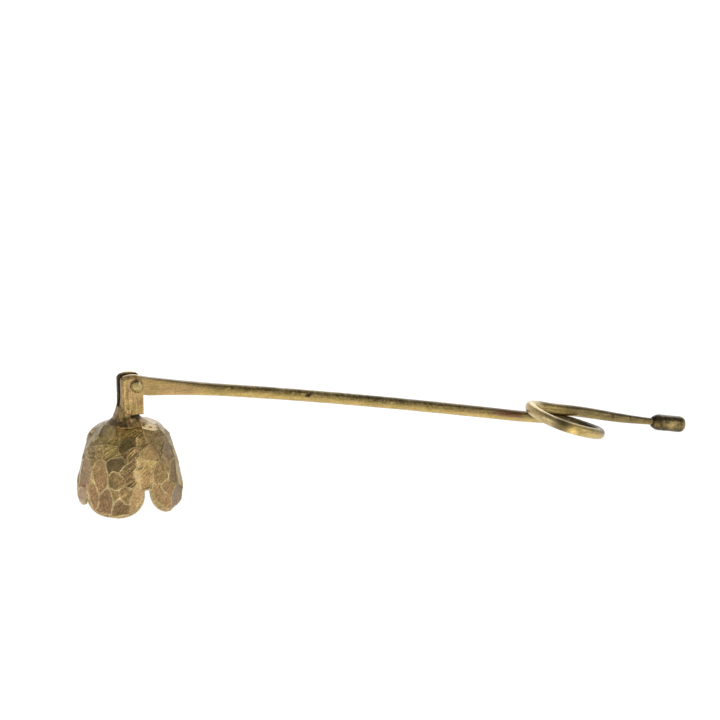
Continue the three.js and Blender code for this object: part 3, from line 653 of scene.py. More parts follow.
def build_bell(material):
    K, J, JI = 516, 138, 24
    X, S, period = rim_curve(K)
    tX, tS = np.gradient(np.append(np.append(X[-1] - period, X), X[0] + period))[1:-1], np.gradient(np.append(np.append(S[-1], S), S[0]))[1:-1]
    l = np.hypot(tX, tS)
    tX, tS = tX / l, tS / l
    oX, oS = -tS, tX  # out of the metal, within the surface
    # even azimuths at the crown, sector by sector
    Xu = np.empty(K)
    cuts = [int(np.argmin(np.abs(X - math.radians(a) * LOBE_R))) for a in SLIT_AZ]
    ext = cuts + [cuts[0] + K]
    az = [math.radians(a) * LOBE_R for a in SLIT_AZ] + [math.radians(SLIT_AZ[0]) * LOBE_R + period]
    for i in range(5):
        for k in range(ext[i], ext[i + 1]):
            x = az[i] + (az[i + 1] - az[i]) * (k - ext[i]) / (ext[i + 1] - ext[i])
            Xu[k % K] = x - (period if k >= K else 0)
    rho = 0.38
    IX, IS = X - oX * rho, S - oS * rho

    def surf(Xa, Sa, depth):
        r, z, nr, nz_ = prof(np.clip(Sa, 0, S_END))
        # past the profile's end the wall runs straight on
        over = np.maximum(Sa - S_END, 0)
        z = z - over
        th = Xa / LOBE_R
        ct, st = np.cos(th), np.sin(th)
        n = np.stack([nr * ct, nr * st, nz_], -1)
        p = np.stack([r * ct, r * st, z], -1)
        return p - n * depth[..., None] if np.ndim(depth) else p - n * depth, n

    # outer skin, from the rim up
    t = np.linspace(0, 1, J)[:, None]
    GX = IX[None] * (1 - t) + Xu[None] * t
    GS = IS[None] * (1 - t) + 0.0 * t
    P, n = surf(GX, GS, 0.0)
    D, wear_and_highlight, tone, hue, worn, scr, cut = (a.reshape(J, K) for a in hammered(P.reshape(-1, 3), n.reshape(-1, 3)))
    D = np.minimum(D, RIDGE)
    depth = RIDGE - D
    fine = 0.014 * fbm(P, 1.3, 31, 3)
    outer = P - n * (depth + 0.02 + fine)[..., None]
    rim_D = depth[0] + 0.02
    # rim: round, across, round
    rows, rw = [], []
    Pr, nr_ = surf(X, S, 0.0)
    e = 1e-3
    Pa, _ = surf(X + oX * e, S + oS * e, 0.0)
    m = (Pa - Pr) / e
    m /= np.linalg.norm(m, axis=1)[:, None]
    thick = WALL - 0.12 - rim_D
    for a in (30, 60, 90):
        c, s_ = math.cos(math.radians(a)), math.sin(math.radians(a))
        rows.append(Pr - m * rho * (1 - s_) - nr_ * (rim_D + rho * (1 - c))[:, None])
        rw.append(np.full(K, 1.0))
    for f in (0.33, 0.66):
        rows.append(Pr - nr_ * (rim_D + rho + (thick - 2 * rho) * f)[:, None])
        rw.append(np.full(K, 0.55))
    for a in (90, 60, 30, 0):
        c, s_ = math.cos(math.radians(a)), math.sin(math.radians(a))
        rows.append(Pr - m * rho * (1 - s_) - nr_ * (rim_D + thick - rho * (1 - c))[:, None])
        rw.append(np.full(K, 0.5 if a > 20 else 0.2))
    # inner skin, up to the crown's hole, with the marks showing faintly through
    ti = np.linspace(0, 1, JI)[1:, None]
    HX = IX[None] * (1 - ti) + Xu[None] * ti
    HS = IS[None] * (1 - ti) + 0.0 * ti
    Pi, ni = surf(HX, HS, 0.0)
    inner_depth = (WALL - 0.12) + 0.06 * fbm(Pi, 4.0, 41, 2)
    w0 = 1 - np.minimum(ti * 6, 1)
    inner_depth = inner_depth * (1 - w0) + (rim_D + thick)[None] * w0
    inner = Pi - ni * inner_depth[..., None]
    verts = np.concatenate([outer[::-1].reshape(-1, 3), np.array(rows).reshape(-1, 3), inner.reshape(-1, 3)])
    nrow = J + len(rows) + len(inner)
    faces = grid_faces(nrow, K, wrap_rows=True, flip=True)
    dist = t * (S - 0)[None] + rho
    edge = smoothstep(1.1, 0.35, dist)
    # ridges are worn brighter towards the rim, and unevenly
    up = smoothstep(30, 12, P[..., 2])
    patchy = smoothstep(-0.45, 0.4, fbm(P, 3.6, 33, 2))
    w_out = wear_and_highlight * (0.40 + 0.50 * up) * (0.35 + 0.65 * patchy) * smoothstep(28.5, 25.5, P[..., 2])
    w_out = np.clip(np.maximum(np.maximum(w_out, worn * (0.6 + 0.5 * noise(P, 0.8, 34))), 0.62 * edge), 0, 1)
    one = lambda v: np.full((len(inner), K), v)
    low = np.zeros(len(rows) * K)
    A = {
        "scratch": np.concatenate([scr[::-1].ravel(), low, one(0.1).ravel()]),
        "wear_and_highlight": np.concatenate([w_out[::-1].ravel(), np.array(rw).ravel() * 0.6, one(0.0).ravel()]),
        "tone": np.concatenate([tone[::-1].ravel(), np.tile(tone[0], len(rows)), one(-0.6).ravel()]),
        "hue": np.concatenate([hue[::-1].ravel(), np.tile(hue[0], len(rows)), one(0.3).ravel()]),
        "dirt_and_shade": np.concatenate([(0.8 * cut[::-1]).ravel(), np.repeat(np.linspace(0, 0.2, len(rows)), K), one(0.45).ravel()]),
    }
    # the red-brown patch on the left lobe, and dull metal round the foot of the fork
    V = verts
    azv = np.degrees(np.arctan2(V[:, 1], V[:, 0]))
    rr = np.hypot(V[:, 0] + 0.65, V[:, 1])
    foot = smoothstep(9.0, 6.4, rr + 0.8 * fbm(V, 2.0, 51)) * smoothstep(28.5, 30.0, V[:, 2])
    A["dirt_and_shade"] = np.maximum(A["dirt_and_shade"], 0.5 * foot)
    patch = np.exp(-((azv + 169.5) ** 2) / 20 - (V[:, 2] - 10.2) ** 2 / 6.0) * (np.hypot(V[:, 0], V[:, 1]) > 18.8)
    A["tone"] = A["tone"] - 0.7 * patch
    A["hue"] = np.clip(A["hue"] + 2.2 * patch, 0, 3.0)
    # painted sheen along the shoulders, where the bell turns away at its two sides
    turn = lambda c, wd: np.exp(-((((azv - c + 180) % 360) - 180) / wd) ** 2)
    azv = np.degrees(np.arctan2(verts[:, 1], verts[:, 0]))
    A["painted_sheen"] = 0.8 * smoothstep(16, 25, verts[:, 2]) * (turn(-18, 30) + turn(168, 28))
    return make("hammered_bell", verts, faces, "bell", ["bell_cup"], material, A)


# ---------------------------------------------------------------- fork
def fork_field(P):
    X, Y, Z = P[..., 0], P[..., 1], P[..., 2]
    x0, x1, top, foot = -3.35, 5.05, 50.5, 35.1
    cx, hx = (x0 + x1) / 2, (x1 - x0) / 2
    # file strokes and dents on the two faces
    fl = 0.055 * noise(P, (0.55, 3.0, 9.0), 61) + 0.035 * noise(P, (0.28, 3.0, 5.0), 62) + 0.05 * fbm(P, 2.4, 63)
    side = np.abs(X - cx) - hx + 0.05 + 0.04 * noise(P, (3.0, 0.6, 7.0), 64) + 0.05 * fbm(P, 3.0, 65)
    dome = 0.05 * (X - cx + 0.4) ** 2
    b = rmax(side, Z - top + 0.04 + dome + 0.05 * fbm(P, 2.0, 66), 1.5)
    b = rmax(b, foot - Z + 0.10 * fbm(P, 1.6, 67), 0.25)
    b = rmax(b, np.abs(Y) - 3.62 + fl, 0.32)
    ch = ((np.abs(Y) - 3.62) * 1.4 + (Z - 49.1 + dome) * 0.95) / math.hypot(1.4, 0.95)
    b = rmax(b, ch + 0.05 * fbm(P, 1.8, 68), 0.22)
    b = np.maximum(b, rmax(x0 + 0.05 - X, -3.62 - Y + fl, 1.1))  # softened left front edge
    # neck and flared foot
    zs = np.array([31.6, 32.4, 33.0, 33.35, 34.1, 34.7, 35.5, 36.6, 38.0, 39.5, 41.2])
    xl = np.array([-8.0, -7.0, -6.3, -5.95, -5.7, -5.45, -5.05, -4.5, -3.9, -3.5, -3.3])
    xr = np.array([6.6, 5.8, 5.1, 4.65, 4.2, 3.8, 3.6, 3.55, 3.6, 3.8, 4.1])
    yb = np.array([7.2, 6.4, 5.7, 5.3, 4.6, 4.0, 3.55, 3.4, 3.4, 3.42, 3.45])
    pw = np.array([2.1, 2.1, 2.2, 2.2, 2.3, 2.6, 3.2, 4, 5, 6, 7])
    L_, R_, B_, W_ = (np.interp(Z, zs, a) for a in (xl, xr, yb, pw))
    a_, c_ = (R_ - L_) / 2, (R_ + L_) / 2
    q = ((np.abs(X - c_) / a_) ** W_ + (np.abs(Y) / B_) ** W_) ** (1 / W_)
    neck = (q - 1) * np.minimum(a_, B_) + 0.06 * noise(P, (0.9, 0.9, 5.0), 71) + 0.08 * fbm(P, 2.2, 72)
    # the flare ends on the crown of the bell
    rr = np.hypot(X, Y)
    crown = np.interp(rr, PROF[:, 0], PROF[:, 1])
    neck = np.maximum(neck, (crown - 0.55) - Z)
    neck = np.maximum(neck, Z - 41.0)
    f = smin(b, neck, 0.5)
    slot = rmax(np.abs(Y) - 1.5, 38.0 - Z, 0.25)
    f = rmax(f, -slot, 0.22)
    # spigot through the crown, spread inside the bell
    r0 = np.hypot(X, Y)
    sp = np.maximum(r0 - 3.0, np.abs(Z - 32.2) - 1.9)
    head = rmax(r0 - 4.3 + 0.15 * fbm(P, 1.8, 73), np.abs(Z - 30.43) - 0.62 + 0.08 * fbm(P, 1.5, 74), 0.4)
    f = np.minimum(f, np.minimum(sp, head))
    bore = np.hypot(X - 2.7, Z - 46.0) - 1.58
    return np.maximum(f, -bore)


def build_fork(material):
    v, q = nets(fork_field, (-9.0, -8.0, 29.3), (7.6, 8.0, 50.9), 0.17)
    X, Y, Z = v.T
    e = 0.06
    g = np.stack([(fork_field(v + d) - fork_field(v - d)) / (2 * e) for d in np.eye(3) * e], -1)
    n = g / np.maximum(np.linalg.norm(g, axis=1), 1e-6)[:, None]
    # how convex it is there: the field a little way out along the normal falls short on an edge
    curv = (fork_field(v + n * 0.0 + np.cross(n, [0, 0, 1.0]) * 0.35) + fork_field(v - np.cross(n, [0, 0, 1.0]) * 0.35)
            + fork_field(v + np.cross(n, [1.0, 0, 0]) * 0.35) + fork_field(v - np.cross(n, [1.0, 0, 0]) * 0.35))
    wear_and_highlight = 0.75 * smoothstep(0.16, 0.5, curv) * (Z > 34.5) * (0.5 + 0.5 * smoothstep(-0.4, 0.4, fbm(v, 2.0, 85)))
    # painted shade in the slot between the cheeks, darker further in
    slot_in = (np.abs(Y) < 1.62) & (Z > 37.8)
    depth = np.minimum(np.minimum(X + 3.35, 5.05 - X), 50.5 - Z)
    dirt_and_shade = np.where(slot_in, smoothstep(0.15, 0.9, depth) * 0.95, 0.0)
    # painted shadow beneath the overhanging bottom edge of the front cheek, and fainter painted shade further right on
    # the neck
    under_cheek_shadow = smoothstep(35.45, 35.15, Z) * smoothstep(33.9, 34.7, Z) * smoothstep(-0.9, 0.2, X)
    under_cheek_shadow = np.maximum(under_cheek_shadow, 0.6 * smoothstep(35.3, 34.9, Z) * smoothstep(32.6, 34.0, Z) * smoothstep(1.0, 2.6, X))
    dirt_and_shade = np.maximum(dirt_and_shade, 0.99 * under_cheek_shadow)
    # painted shade on faces turned to the left at the slot's open end and the rear cheek's end
    dirt_and_shade = np.maximum(dirt_and_shade, 0.93 * smoothstep(0.35, 0.8, -n[:, 0]) * smoothstep(-3.2, -2.5, Y) * smoothstep(3.9, 3.5, Y) * smoothstep(37.6, 38.6, Z))
    dirt_and_shade = np.maximum(dirt_and_shade, 0.35 * smoothstep(34.4, 33.0, Z) * (Z > 31.8) * (0.5 + 0.5 * fbm(v, 1.2, 81)))
    dirt_and_shade = np.where(Z < 31.3, 0.5, dirt_and_shade)
    tone = 0.7 * fbm(v, (1.2, 1.2, 4.0), 82) + 0.05
    # painted shade: faces of the rear half turned to the left are darker
    tone = tone - 0.25 - 1.2 * smoothstep(0.3, 0.9, -n[:, 0]) * smoothstep(0.5, 1.6, Y) * (Z > 37.5)
    base = smoothstep(35.6, 33.8, Z) * (Z > 31.8)
    tone = tone - base * (0.6 + 1.5 * fbm(v, 1.1, 84))
    # painted shade: faces turned to the left low down are darker
    tone = tone - 0.45 * smoothstep(0.2, 0.8, -n[:, 0]) * (Z < 38.6)
    patch = np.exp(-((X + 0.2) / 0.85) ** 2 - ((Z - 33.6) / 0.95) ** 2) * (Y < -2.5)
    tone = tone * (1 - patch) + 0.5 * patch
    dirt_and_shade = dirt_and_shade * (1 - 0.9 * patch)
    # a flake lifting at the lower left of the front face, in colour only: orange-brown with a lighter ring, and a
    # painted shadow along its lower edge
    fx, fz = (X + 0.8) / 1.15, (Z - 36.5) / 0.85
    fr = np.hypot(fx, fz)
    flake = np.exp(-((fr - 1) / 0.2) ** 2) * (Y < -3.2)
    tone = tone - 1.6 * flake * (fz < 0.5) + 1.0 * np.exp(-((fr - 0.6) / 0.25) ** 2) * (Y < -3.2)
    # painted shade on the sloping top bevels of the cheeks
    tone = tone - 0.5 * smoothstep(0.25, 0.45, n[:, 2]) * smoothstep(0.9, 0.75, n[:, 2]) * (Z > 47)
    tone = tone - 0.45 * smoothstep(38.5, 37.0, Z) * smoothstep(-1.6, -2.6, X) * (Z > 32)
    # painted highlights: the upward-facing top edges of the cheeks and a line along the front cheek's inner left edge
    # are lightened, made milky and given the worn colour
    painted_rim_highlight = smoothstep(0.75, 0.9, n[:, 2]) * (Z > 46.5) * (np.abs(Y) > 1.55)
    painted_lip_highlight = smoothstep(0.5, 0.2, np.abs(X + 3.3)) * smoothstep(0.45, 0.15, np.abs(Y + 1.75)) * smoothstep(37.8, 38.6, Z)
    painted_rim_highlight = np.maximum(painted_rim_highlight, painted_lip_highlight)
    dirt_and_shade = dirt_and_shade * (1 - painted_lip_highlight)
    tone = tone + 1.0 * painted_rim_highlight
    wear_and_highlight = np.maximum(wear_and_highlight, 0.5 * painted_rim_highlight)
    # painted shade on the left end of the rear cheek, without the worn colour
    rear_end_shade = (Y > 0.4) * smoothstep(-2.3, -2.9, X) * smoothstep(37.4, 38.4, Z)
    wear_and_highlight = wear_and_highlight * (1 - rear_end_shade)
    dirt_and_shade = np.maximum(dirt_and_shade, 0.96 * rear_end_shade * smoothstep(3.75, 3.45, Y))
    # painted shadow in the crevice beside the rivet head, upper left, and a darker ring round the head
    rr, ra = np.hypot(X - 2.7, Z - 46.1), np.degrees(np.arctan2(Z - 46.1, X - 2.7))
    dirt_and_shade = np.maximum(dirt_and_shade, 0.98 * smoothstep(3.1, 2.8, rr + 0.25 * noise(v, 0.8, 86)) * (Y < -3.0) * smoothstep(60, 95, ra % 360) * smoothstep(205, 180, ra % 360))
    dirt_and_shade = np.maximum(dirt_and_shade, 0.35 * smoothstep(2.9, 2.4, rr) * (np.abs(Y) > 3.0))
    # dark file line down the front near its left edge, and rust-brown blotches
    tone = tone - 0.6 * np.exp(-((X + 2.8 + 0.15 * noise(v, 3.0, 87)) / 0.22) ** 2) * (Y < -3.2)
    tone = tone + 0.45 * np.exp(-((X + 2.0) / 0.22) ** 2) * (Y < -3.2) - 0.4 * np.exp(-((X + 0.9 + 0.2 * noise(v, 3.0, 88)) / 0.4) ** 2) * (Y < -3.2) * (Z < 46)
    # the painted shadow beneath the cheek also darkens the tone
    tone = tone - 2.0 * under_cheek_shadow
    hue = np.clip(0.45 + 0.9 * fbm(v, (1.0, 1.0, 2.2), 83), 0, 1.5)
    hue = np.maximum(hue, 1.9 * flake * (fz < 0.4))
    A = dict(wear_and_highlight=wear_and_highlight * (1 - 0.8 * slot_in * (1 - painted_lip_highlight)), dirt_and_shade=dirt_and_shade, tone=tone, hue=hue, scratch=np.zeros(len(v)), painted_sheen=0.85 * painted_rim_highlight)
    return make("fork", v, q, "bell", ["clevis_fork"], material, A)


# ---------------------------------------------------------------- braze at the foot
def braze_field(P):
    X, Y, Z = P[..., 0], P[..., 1], P[..., 2]
    x, y = X + 0.65, Y * 1.06
    r = np.hypot(x, y)
    az = np.arctan2(y, x)
    crown = np.interp(np.hypot(X, Y), PROF[:, 0], PROF[:, 1])
    wob = 0.4 * np.sin(az * 3 + 1.2) + 0.25 * np.sin(az * 7 + 0.4)
    f = (np.hypot((r - 6.0 - 0.5 * wob) / 1.5, (Z - crown + 0.06 + 0.2 * (r - 4.5)) / 0.50) - 1) * 0.6
    f = f + 0.09 * fbm(P, 1.3, 91) + 0.03 * noise(P, 0.5, 92)
    return np.maximum(f, crown - 0.8 - Z)


def build_braze(material):
    v, q = nets(braze_field, (-9.6, -9.4, 29.9), (9.2, 9.0, 34.4), 0.17, steps=2)
    g = fbm(v, 1.0, 95)
    out = smoothstep(4.6, 7.2, np.hypot(v[:, 0] + 0.65, v[:, 1] * 1.06))
    A = dict(wear_and_highlight=np.clip(0.1 * g, 0, 1), dirt_and_shade=np.clip(0.45 - 0.5 * g, 0, 0.6) * (1 - out), tone=-0.9 + 0.55 * out + 0.5 * fbm(v, 1.6, 97), hue=0.6 - 0.6 * out, scratch=np.full(len(v), 0.25))
    return make("braze", v, q, "bell", ["braze_bead"], material, A)


# ---------------------------------------------------------------- rivet
def rivet_field(P):
    X, Y, Z = P[..., 0] - 2.7, P[..., 1], P[..., 2] - 46.0
    f = np.maximum(np.hypot(X, Z) - 1.5, np.abs(Y) - 3.9)
    # front head: a rounded three-cornered pebble, hammered flat in places
    for sgn, turn in ((-1, 0.0), (1, 2.1)):
        c, s = math.cos(turn), math.sin(turn)
        x, z = X * c - Z * s, X * s + Z * c
        y = Y * sgn - 3.62
        r = np.hypot(x, z)
        a = np.arctan2(z, x)
        rad = 2.34 + 0.16 * np.cos(3 * (a - 3.05)) + 0.07 * np.cos(2 * a + 0.4) + 0.04 * np.cos(5 * a + 1)
        h = (np.hypot(r / rad, np.maximum(y, 0) / 1.1) - 1) * 1.1
        for nx, ny, nz_, d in ((-0.30, 0.94, 0.12, 1.02), (0.42, 0.88, 0.22, 1.22), (-0.02, 0.92, -0.40, 1.20), (0.60, 0.72, -0.35, 1.55), (-0.50, 0.80, -0.33, 1.45)):
            h = smax(h, x * nx + y * ny + z * nz_ - d, 0.10)
        h = rmax(h, -y, 0.18)
        f = np.minimum(f, h + 0.05 * fbm(P, 0.9, 101))
    return f


def build_rivet(material):
    v, q = nets(rivet_field, (-0.1, -5.2, 43.2), (5.5, 5.2, 48.8), 0.11)
    Y = np.abs(v[:, 1])
    r = np.hypot(v[:, 0] - 2.7, v[:, 2] - 46)
    out = smoothstep(3.75, 4.3, Y)
    # painted shade: the head's tone darkens towards its upper right
    A = dict(wear_and_highlight=0.35 * out + 0.35 * np.clip(noise(v, 0.7, 105), 0, 1) * out, dirt_and_shade=np.where(Y < 3.8, 0.75, 0.55 * smoothstep(1.0, 0.0, out)), tone=-0.15 + 0.7 * noise(v, 0.8, 106) - 0.7 * smoothstep(-0.3, 1.3, (v[:, 0] - 2.7) * 0.6 + (v[:, 2] - 46.0) * 0.8), hue=np.full(len(v), 0.1), scratch=np.full(len(v), 0.1))
    return make("rivet", v, q, "bell", ["pivot_rivet"], material, A)


# ---------------------------------------------------------------- handle bar
def bow(x):
    return 45.798 - 0.14789 * x - 3.8896e-4 * x * x + 6.7035e-7 * x**3


LOOP_RX, LOOP_RY, LOOP_X = 13.55, 13.3, 172.9
LOOP_Z = [(0, 12.4), (30, 10.9), (60, 9.6), (90, 9.75), (120, 11.0), (150, 13.2), (180, 15.75), (210, 18.2), (240, 20.3), (270, 21.3), (300, 20.8), (330, 18.9), (360, 16.65)]
KNOB_AT = np.array([217.9, 0, 5.86])
KNOB_DIR = np.array([1, 0, -0.205]) / np.linalg.norm([1, 0, -0.205])


def centreline():
    pts = [[x, 0, bow(x)] for x in (8, 12, 17, 23, 30, 38, 47, 57, 68, 80, 92, 104, 116, 128, 140, 150, 158)]
    for deg, z in LOOP_Z:
        t = math.radians(deg)
        pts.append([LOOP_X + LOOP_RX * math.sin(t), -LOOP_RY * (1 - math.cos(t)), z])
    pts += [[184.4, 0, 14.05], [192.2, 0, 12.1], [199.5, 0, 10.1], [206.7, 0, 8.3], [212.5, 0, 7.0]]
    pts += [list(KNOB_AT + KNOB_DIR * d) for d in (0, 2.6, 5.2)]
    P = np.array(pts, float)
    # centripetal Catmull-Rom, as in the CAD model
    E = np.vstack([2 * P[0] - P[1], P, 2 * P[-1] - P[-2]])
    out = []
    for i in range(len(P) - 1):
        p0, p1, p2, p3 = E[i: i + 4]
        d0, d1, d2 = (max(np.linalg.norm(b - a), 1e-4) ** 0.5 for a, b in ((p0, p1), (p1, p2), (p2, p3)))
        t1 = ((p1 - p0) / d0 - (p2 - p0) / (d0 + d1) + (p2 - p1) / d1) * d1
        t2 = ((p2 - p1) / d1 - (p3 - p1) / (d1 + d2) + (p3 - p2) / d2) * d1
        t = np.linspace(0, 1, 60, endpoint=False)[:, None]
        out.append(p1 + t1 * t + (-3 * p1 + 3 * p2 - 2 * t1 - t2) * t**2 + (2 * p1 - 2 * p2 + t1 + t2) * t**3)
    out = np.concatenate(out + [P[-1:]])
    L = np.concatenate([[0], np.cumsum(np.linalg.norm(np.diff(out, axis=0), axis=1))])
    return out, L


BAR = np.array([[8, 2.7, 6.85, 7], [14.4, 3.0, 6.05, 5.5], [20.6, 3.5, 5.4, 4.2], [26.8, 4.1, 4.98, 3.1], [33, 4.5, 4.7, 2.4], [45, 4.6, 4.66, 2.05],
                [80, 4.55, 4.55, 2], [120, 4.52, 4.52, 2], [158, 4.42, 4.42, 2]])
TAIL = np.array([[184, 4.38], [192, 4.22], [197.7, 4.05], [203.1, 3.78], [208.5, 3.4], [213, 3.05], [216, 2.88], [240, 2.8]])


def build_bar(material):
    line, L = centreline()
    total = L[-1]
    n = 880
    s = np.linspace(0, total, n)
    C = np.stack([np.interp(s, L, line[:, i]) for i in range(3)], 1)
    T = np.gradient(C, s, axis=0)
    T /= np.linalg.norm(T, axis=1)[:, None]
    w, h, q = np.full(n, 4.4), np.full(n, 4.4), np.full(n, 2.0)
    straight = (C[:, 0] <= 158) & (s < total * 0.6)
    for arr, col in ((w, 1), (h, 2), (q, 3)):
        arr[straight] = np.interp(C[straight, 0], BAR[:, 0], BAR[:, col])
    tail = (s > total * 0.75) & (C[:, 1] > -1) & (C[:, 0] > 184)
    w[tail] = h[tail] = np.interp(C[tail, 0], TAIL[:, 0], TAIL[:, 1])
    # the rounded end in the fork
    d0 = np.array([1, 0, -0.118])
    d0 /= np.linalg.norm(d0)
    PV = np.array([2.7, 0, 46.0])
    end = []
    R = 3.45
    for a in np.linspace(math.radians(86), 0, 22):
        k = -math.sin(a)
        end.append((PV + d0 * k * R, 2.7 - 0.35 * smoothstep(0.9, 1.0, -k), 2 * R * math.sqrt(max(1 - k * k, 0.0)), 7.0))
    for x in np.linspace(0.3, 5.0, 14):
        X = 2.7 + x
        end.append((np.array([X, 0, np.interp(X, [2.7, 3.05, 5.4, 8.0], [46.0, 45.94, 45.30, 44.60])]), 2.7, np.interp(X, [3.05, 5.4, 8.0], [6.9, 6.88, 6.83]), 7.0))
    C = np.vstack([np.array([e[0] for e in end]), C])
    w = np.concatenate([[e[1] for e in end], w])
    h = np.concatenate([[e[2] for e in end], h])
    q = np.concatenate([[e[3] for e in end], q])
    T = np.vstack([np.tile(d0, (len(end), 1)), T])
    n = len(C)
    M = 44
    th = (np.arange(M) + 0.5) / M * 2 * math.pi
    ct, st = np.cos(th), np.sin(th)
    up0 = np.array([0, 0, 1.0])
    side = np.cross(up0, T)
    side /= np.linalg.norm(side, axis=1)[:, None]
    up = np.cross(T, side)
    e = 2 / q[:, None]
    A2 = (w / 2)[:, None] * np.sign(ct) * np.abs(ct) ** e
    B2 = (h / 2)[:, None] * np.sign(st) * np.abs(st) ** e
    V = C[:, None] + side[:, None] * A2[..., None] + up[:, None] * B2[..., None]
    # outward direction of each point, for the unevenness of hand work
    nrm = side[:, None] * (np.sign(ct) * np.abs(ct))[None, :, None] + up[:, None] * (np.sign(st) * np.abs(st))[None, :, None]
    rod = smoothstep(8, 34, C[:, 0])[:, None]
    bump = 0.045 * fbm(V, (6.0, 2.6, 2.6), 111, 2) * rod + 0.02 * noise(V, 1.1, 112) * rod + 0.02 * fbm(V, (3.0, 3.0, 1.2), 113, 2) * (1 - rod)
    bump = bump - 0.045
    # small casting pits along the upper front of the rod
    pits = np.zeros(bump.shape)
    for x, yy, zz, rr, dd in PITS:
        z0 = bow(x)
        d = np.sqrt(((V[..., 0] - x) / 1.25) ** 2 + (V[..., 1] - yy) ** 2 + (V[..., 2] - z0 - zz) ** 2)
        pits = np.maximum(pits, dd * smoothstep(rr, rr * 0.25, d))
    V = V + nrm * (bump - 0.28 * pits)[..., None]
    verts = V.reshape(-1, 3)
    faces = grid_faces(n, M)
    k0, k1 = len(verts), len(verts) + 1
    verts = np.vstack([verts, V[0].mean(0) - d0 * 0.05, V[-1].mean(0)])
    j = np.arange(M)
    tri0 = np.stack([np.full(M, k0), (j + 1) % M, j, j], 1)
    tri1 = np.stack([np.full(M, k1), (n - 1) * M + j, (n - 1) * M + (j + 1) % M, (n - 1) * M + (j + 1) % M], 1)
    X = V[..., 0]
    loop_side = (V[..., 1] < -3) & (V[..., 0] > 150)
    wear_and_highlight = 0.16 * np.clip(noise(V, (4.0, 1.5, 1.5), 115) + 0.2, 0, 1)
    corner = np.minimum(np.abs(A2) / (w / 2)[:, None], np.abs(B2) / (h / 2)[:, None])
    wear_and_highlight = np.maximum(wear_and_highlight, 0.55 * smoothstep(0.82, 0.97, corner) * (1 - rod))
    wear_and_highlight = np.where(loop_side, np.maximum(wear_and_highlight, 0.22 + 0.2 * noise(V, (5, 5, 2), 116)), wear_and_highlight)
    top = smoothstep(0.1, 0.9, st[None] * np.ones((n, 1)))
    ga, gb = np.gradient(V, axis=0), np.roll(V, -1, 1) - np.roll(V, 1, 1)
    face = np.cross(ga, gb)
    face /= np.maximum(np.linalg.norm(face, axis=-1, keepdims=True), 1e-9)
    if (face * nrm).sum() < 0:
        face = -face
    nz_ = face[..., 2]
    # painted shade: darker along the top and a little lighter beneath, by which way each face points
    facing_shade = np.interp(nz_, [-0.9, -0.6, -0.2, 0.05, 0.3, 0.6, 0.95], [0.15, 0.2, 0.1, -0.35, -1.0, -1.6, -1.9])
    tone = 0.22 * fbm(V, (9.0, 2.0, 2.0), 117) + facing_shade * np.where(loop_side, 0.5 + 0.85 * smoothstep(171, 183, X), 1.0 + 0.28 * smoothstep(75, 98, X) * smoothstep(150, 130, X))
    late = (np.arange(n) > n * 0.7)[:, None]
    tail_zone = smoothstep(176, 198, C[:, 0])[:, None] * late
    tone = tone - 1.05 * tail_zone
    # painted highlight on the upper side of the loop's left end
    left_end_highlight = (smoothstep(169, 163, C[:, 0]) * smoothstep(16.5, 18.5, C[:, 2]) * (C[:, 0] > 158.5) * (np.arange(n) > n * 0.5))[:, None]
    tone = tone * (1 - 0.6 * left_end_highlight) + 0.35 * left_end_highlight
    before = smoothstep(143, 152, X) * smoothstep(160.5, 159, X) * (np.arange(n) < n * 0.6)[:, None] * smoothstep(-0.35, 0.25, nz_)
    tone = tone - 0.9 * before
    # spotted where casting skin is left, on the upper side
    spotted = smoothstep(26, 42, X) * smoothstep(165, 130, X) * smoothstep(-0.1, 0.5, nz_)
    tone = tone + 0.75 * spotted * noise(V, (0.7, 0.8, 0.8), 130) + 0.9 * spotted * noise(V, (0.45, 1.1, 1.1), 131)
    # spots of darker and lighter tone on the finger loop; the light ones are partly painted highlights and also raise
    # the worn colour, the dark ones partly painted shade
    loop_marks_and_light = 0.0
    for at, size, amount in LOOP_MARKS_AND_LIGHT:
        loop_marks_and_light = loop_marks_and_light + amount * np.exp(-(((V - np.array(at)) / np.array(size)) ** 2).sum(-1))
    tone = tone + loop_marks_and_light - 1.6 * pits
    wear_and_highlight = wear_and_highlight * np.clip(1 + 1.3 * loop_marks_and_light, 0.03, 1.6)
    mott = smoothstep(50, 75, X) * smoothstep(150, 105, X)
    tone = tone - 0.35 * mott * np.clip(fbm(V, (1.6, 1.0, 1.0), 118) + 0.1, 0, 1)
    # the pits are dirty, and the rod's end between the fork's cheeks gets painted shade
    dirt_and_shade = np.maximum(pits * 0.95, 0.85 * smoothstep(5.6, 4.4, X) * (C[:, 0] < 30)[:, None])
    # painted shade where the coil crosses itself and its strands nearly touch
    coil_crossing_shade = np.exp(-((C[:, 0] - 168) / 6) ** 2)[:, None] * (np.abs(V[..., 1]) < 3)
    dirt_and_shade = np.maximum(dirt_and_shade, 0.85 * coil_crossing_shade * (np.where(C[:, 2] < 15, 1, -1)[:, None] * st[None] > 0.3))
    hue = np.clip(0.4 + 0.5 * fbm(V, (7.0, 3.0, 3.0), 119) - 0.35 * smoothstep(20, 45, X), 0, 1)
    hue = np.where(before > 0.05, np.maximum(hue, 1.75 * before), hue)
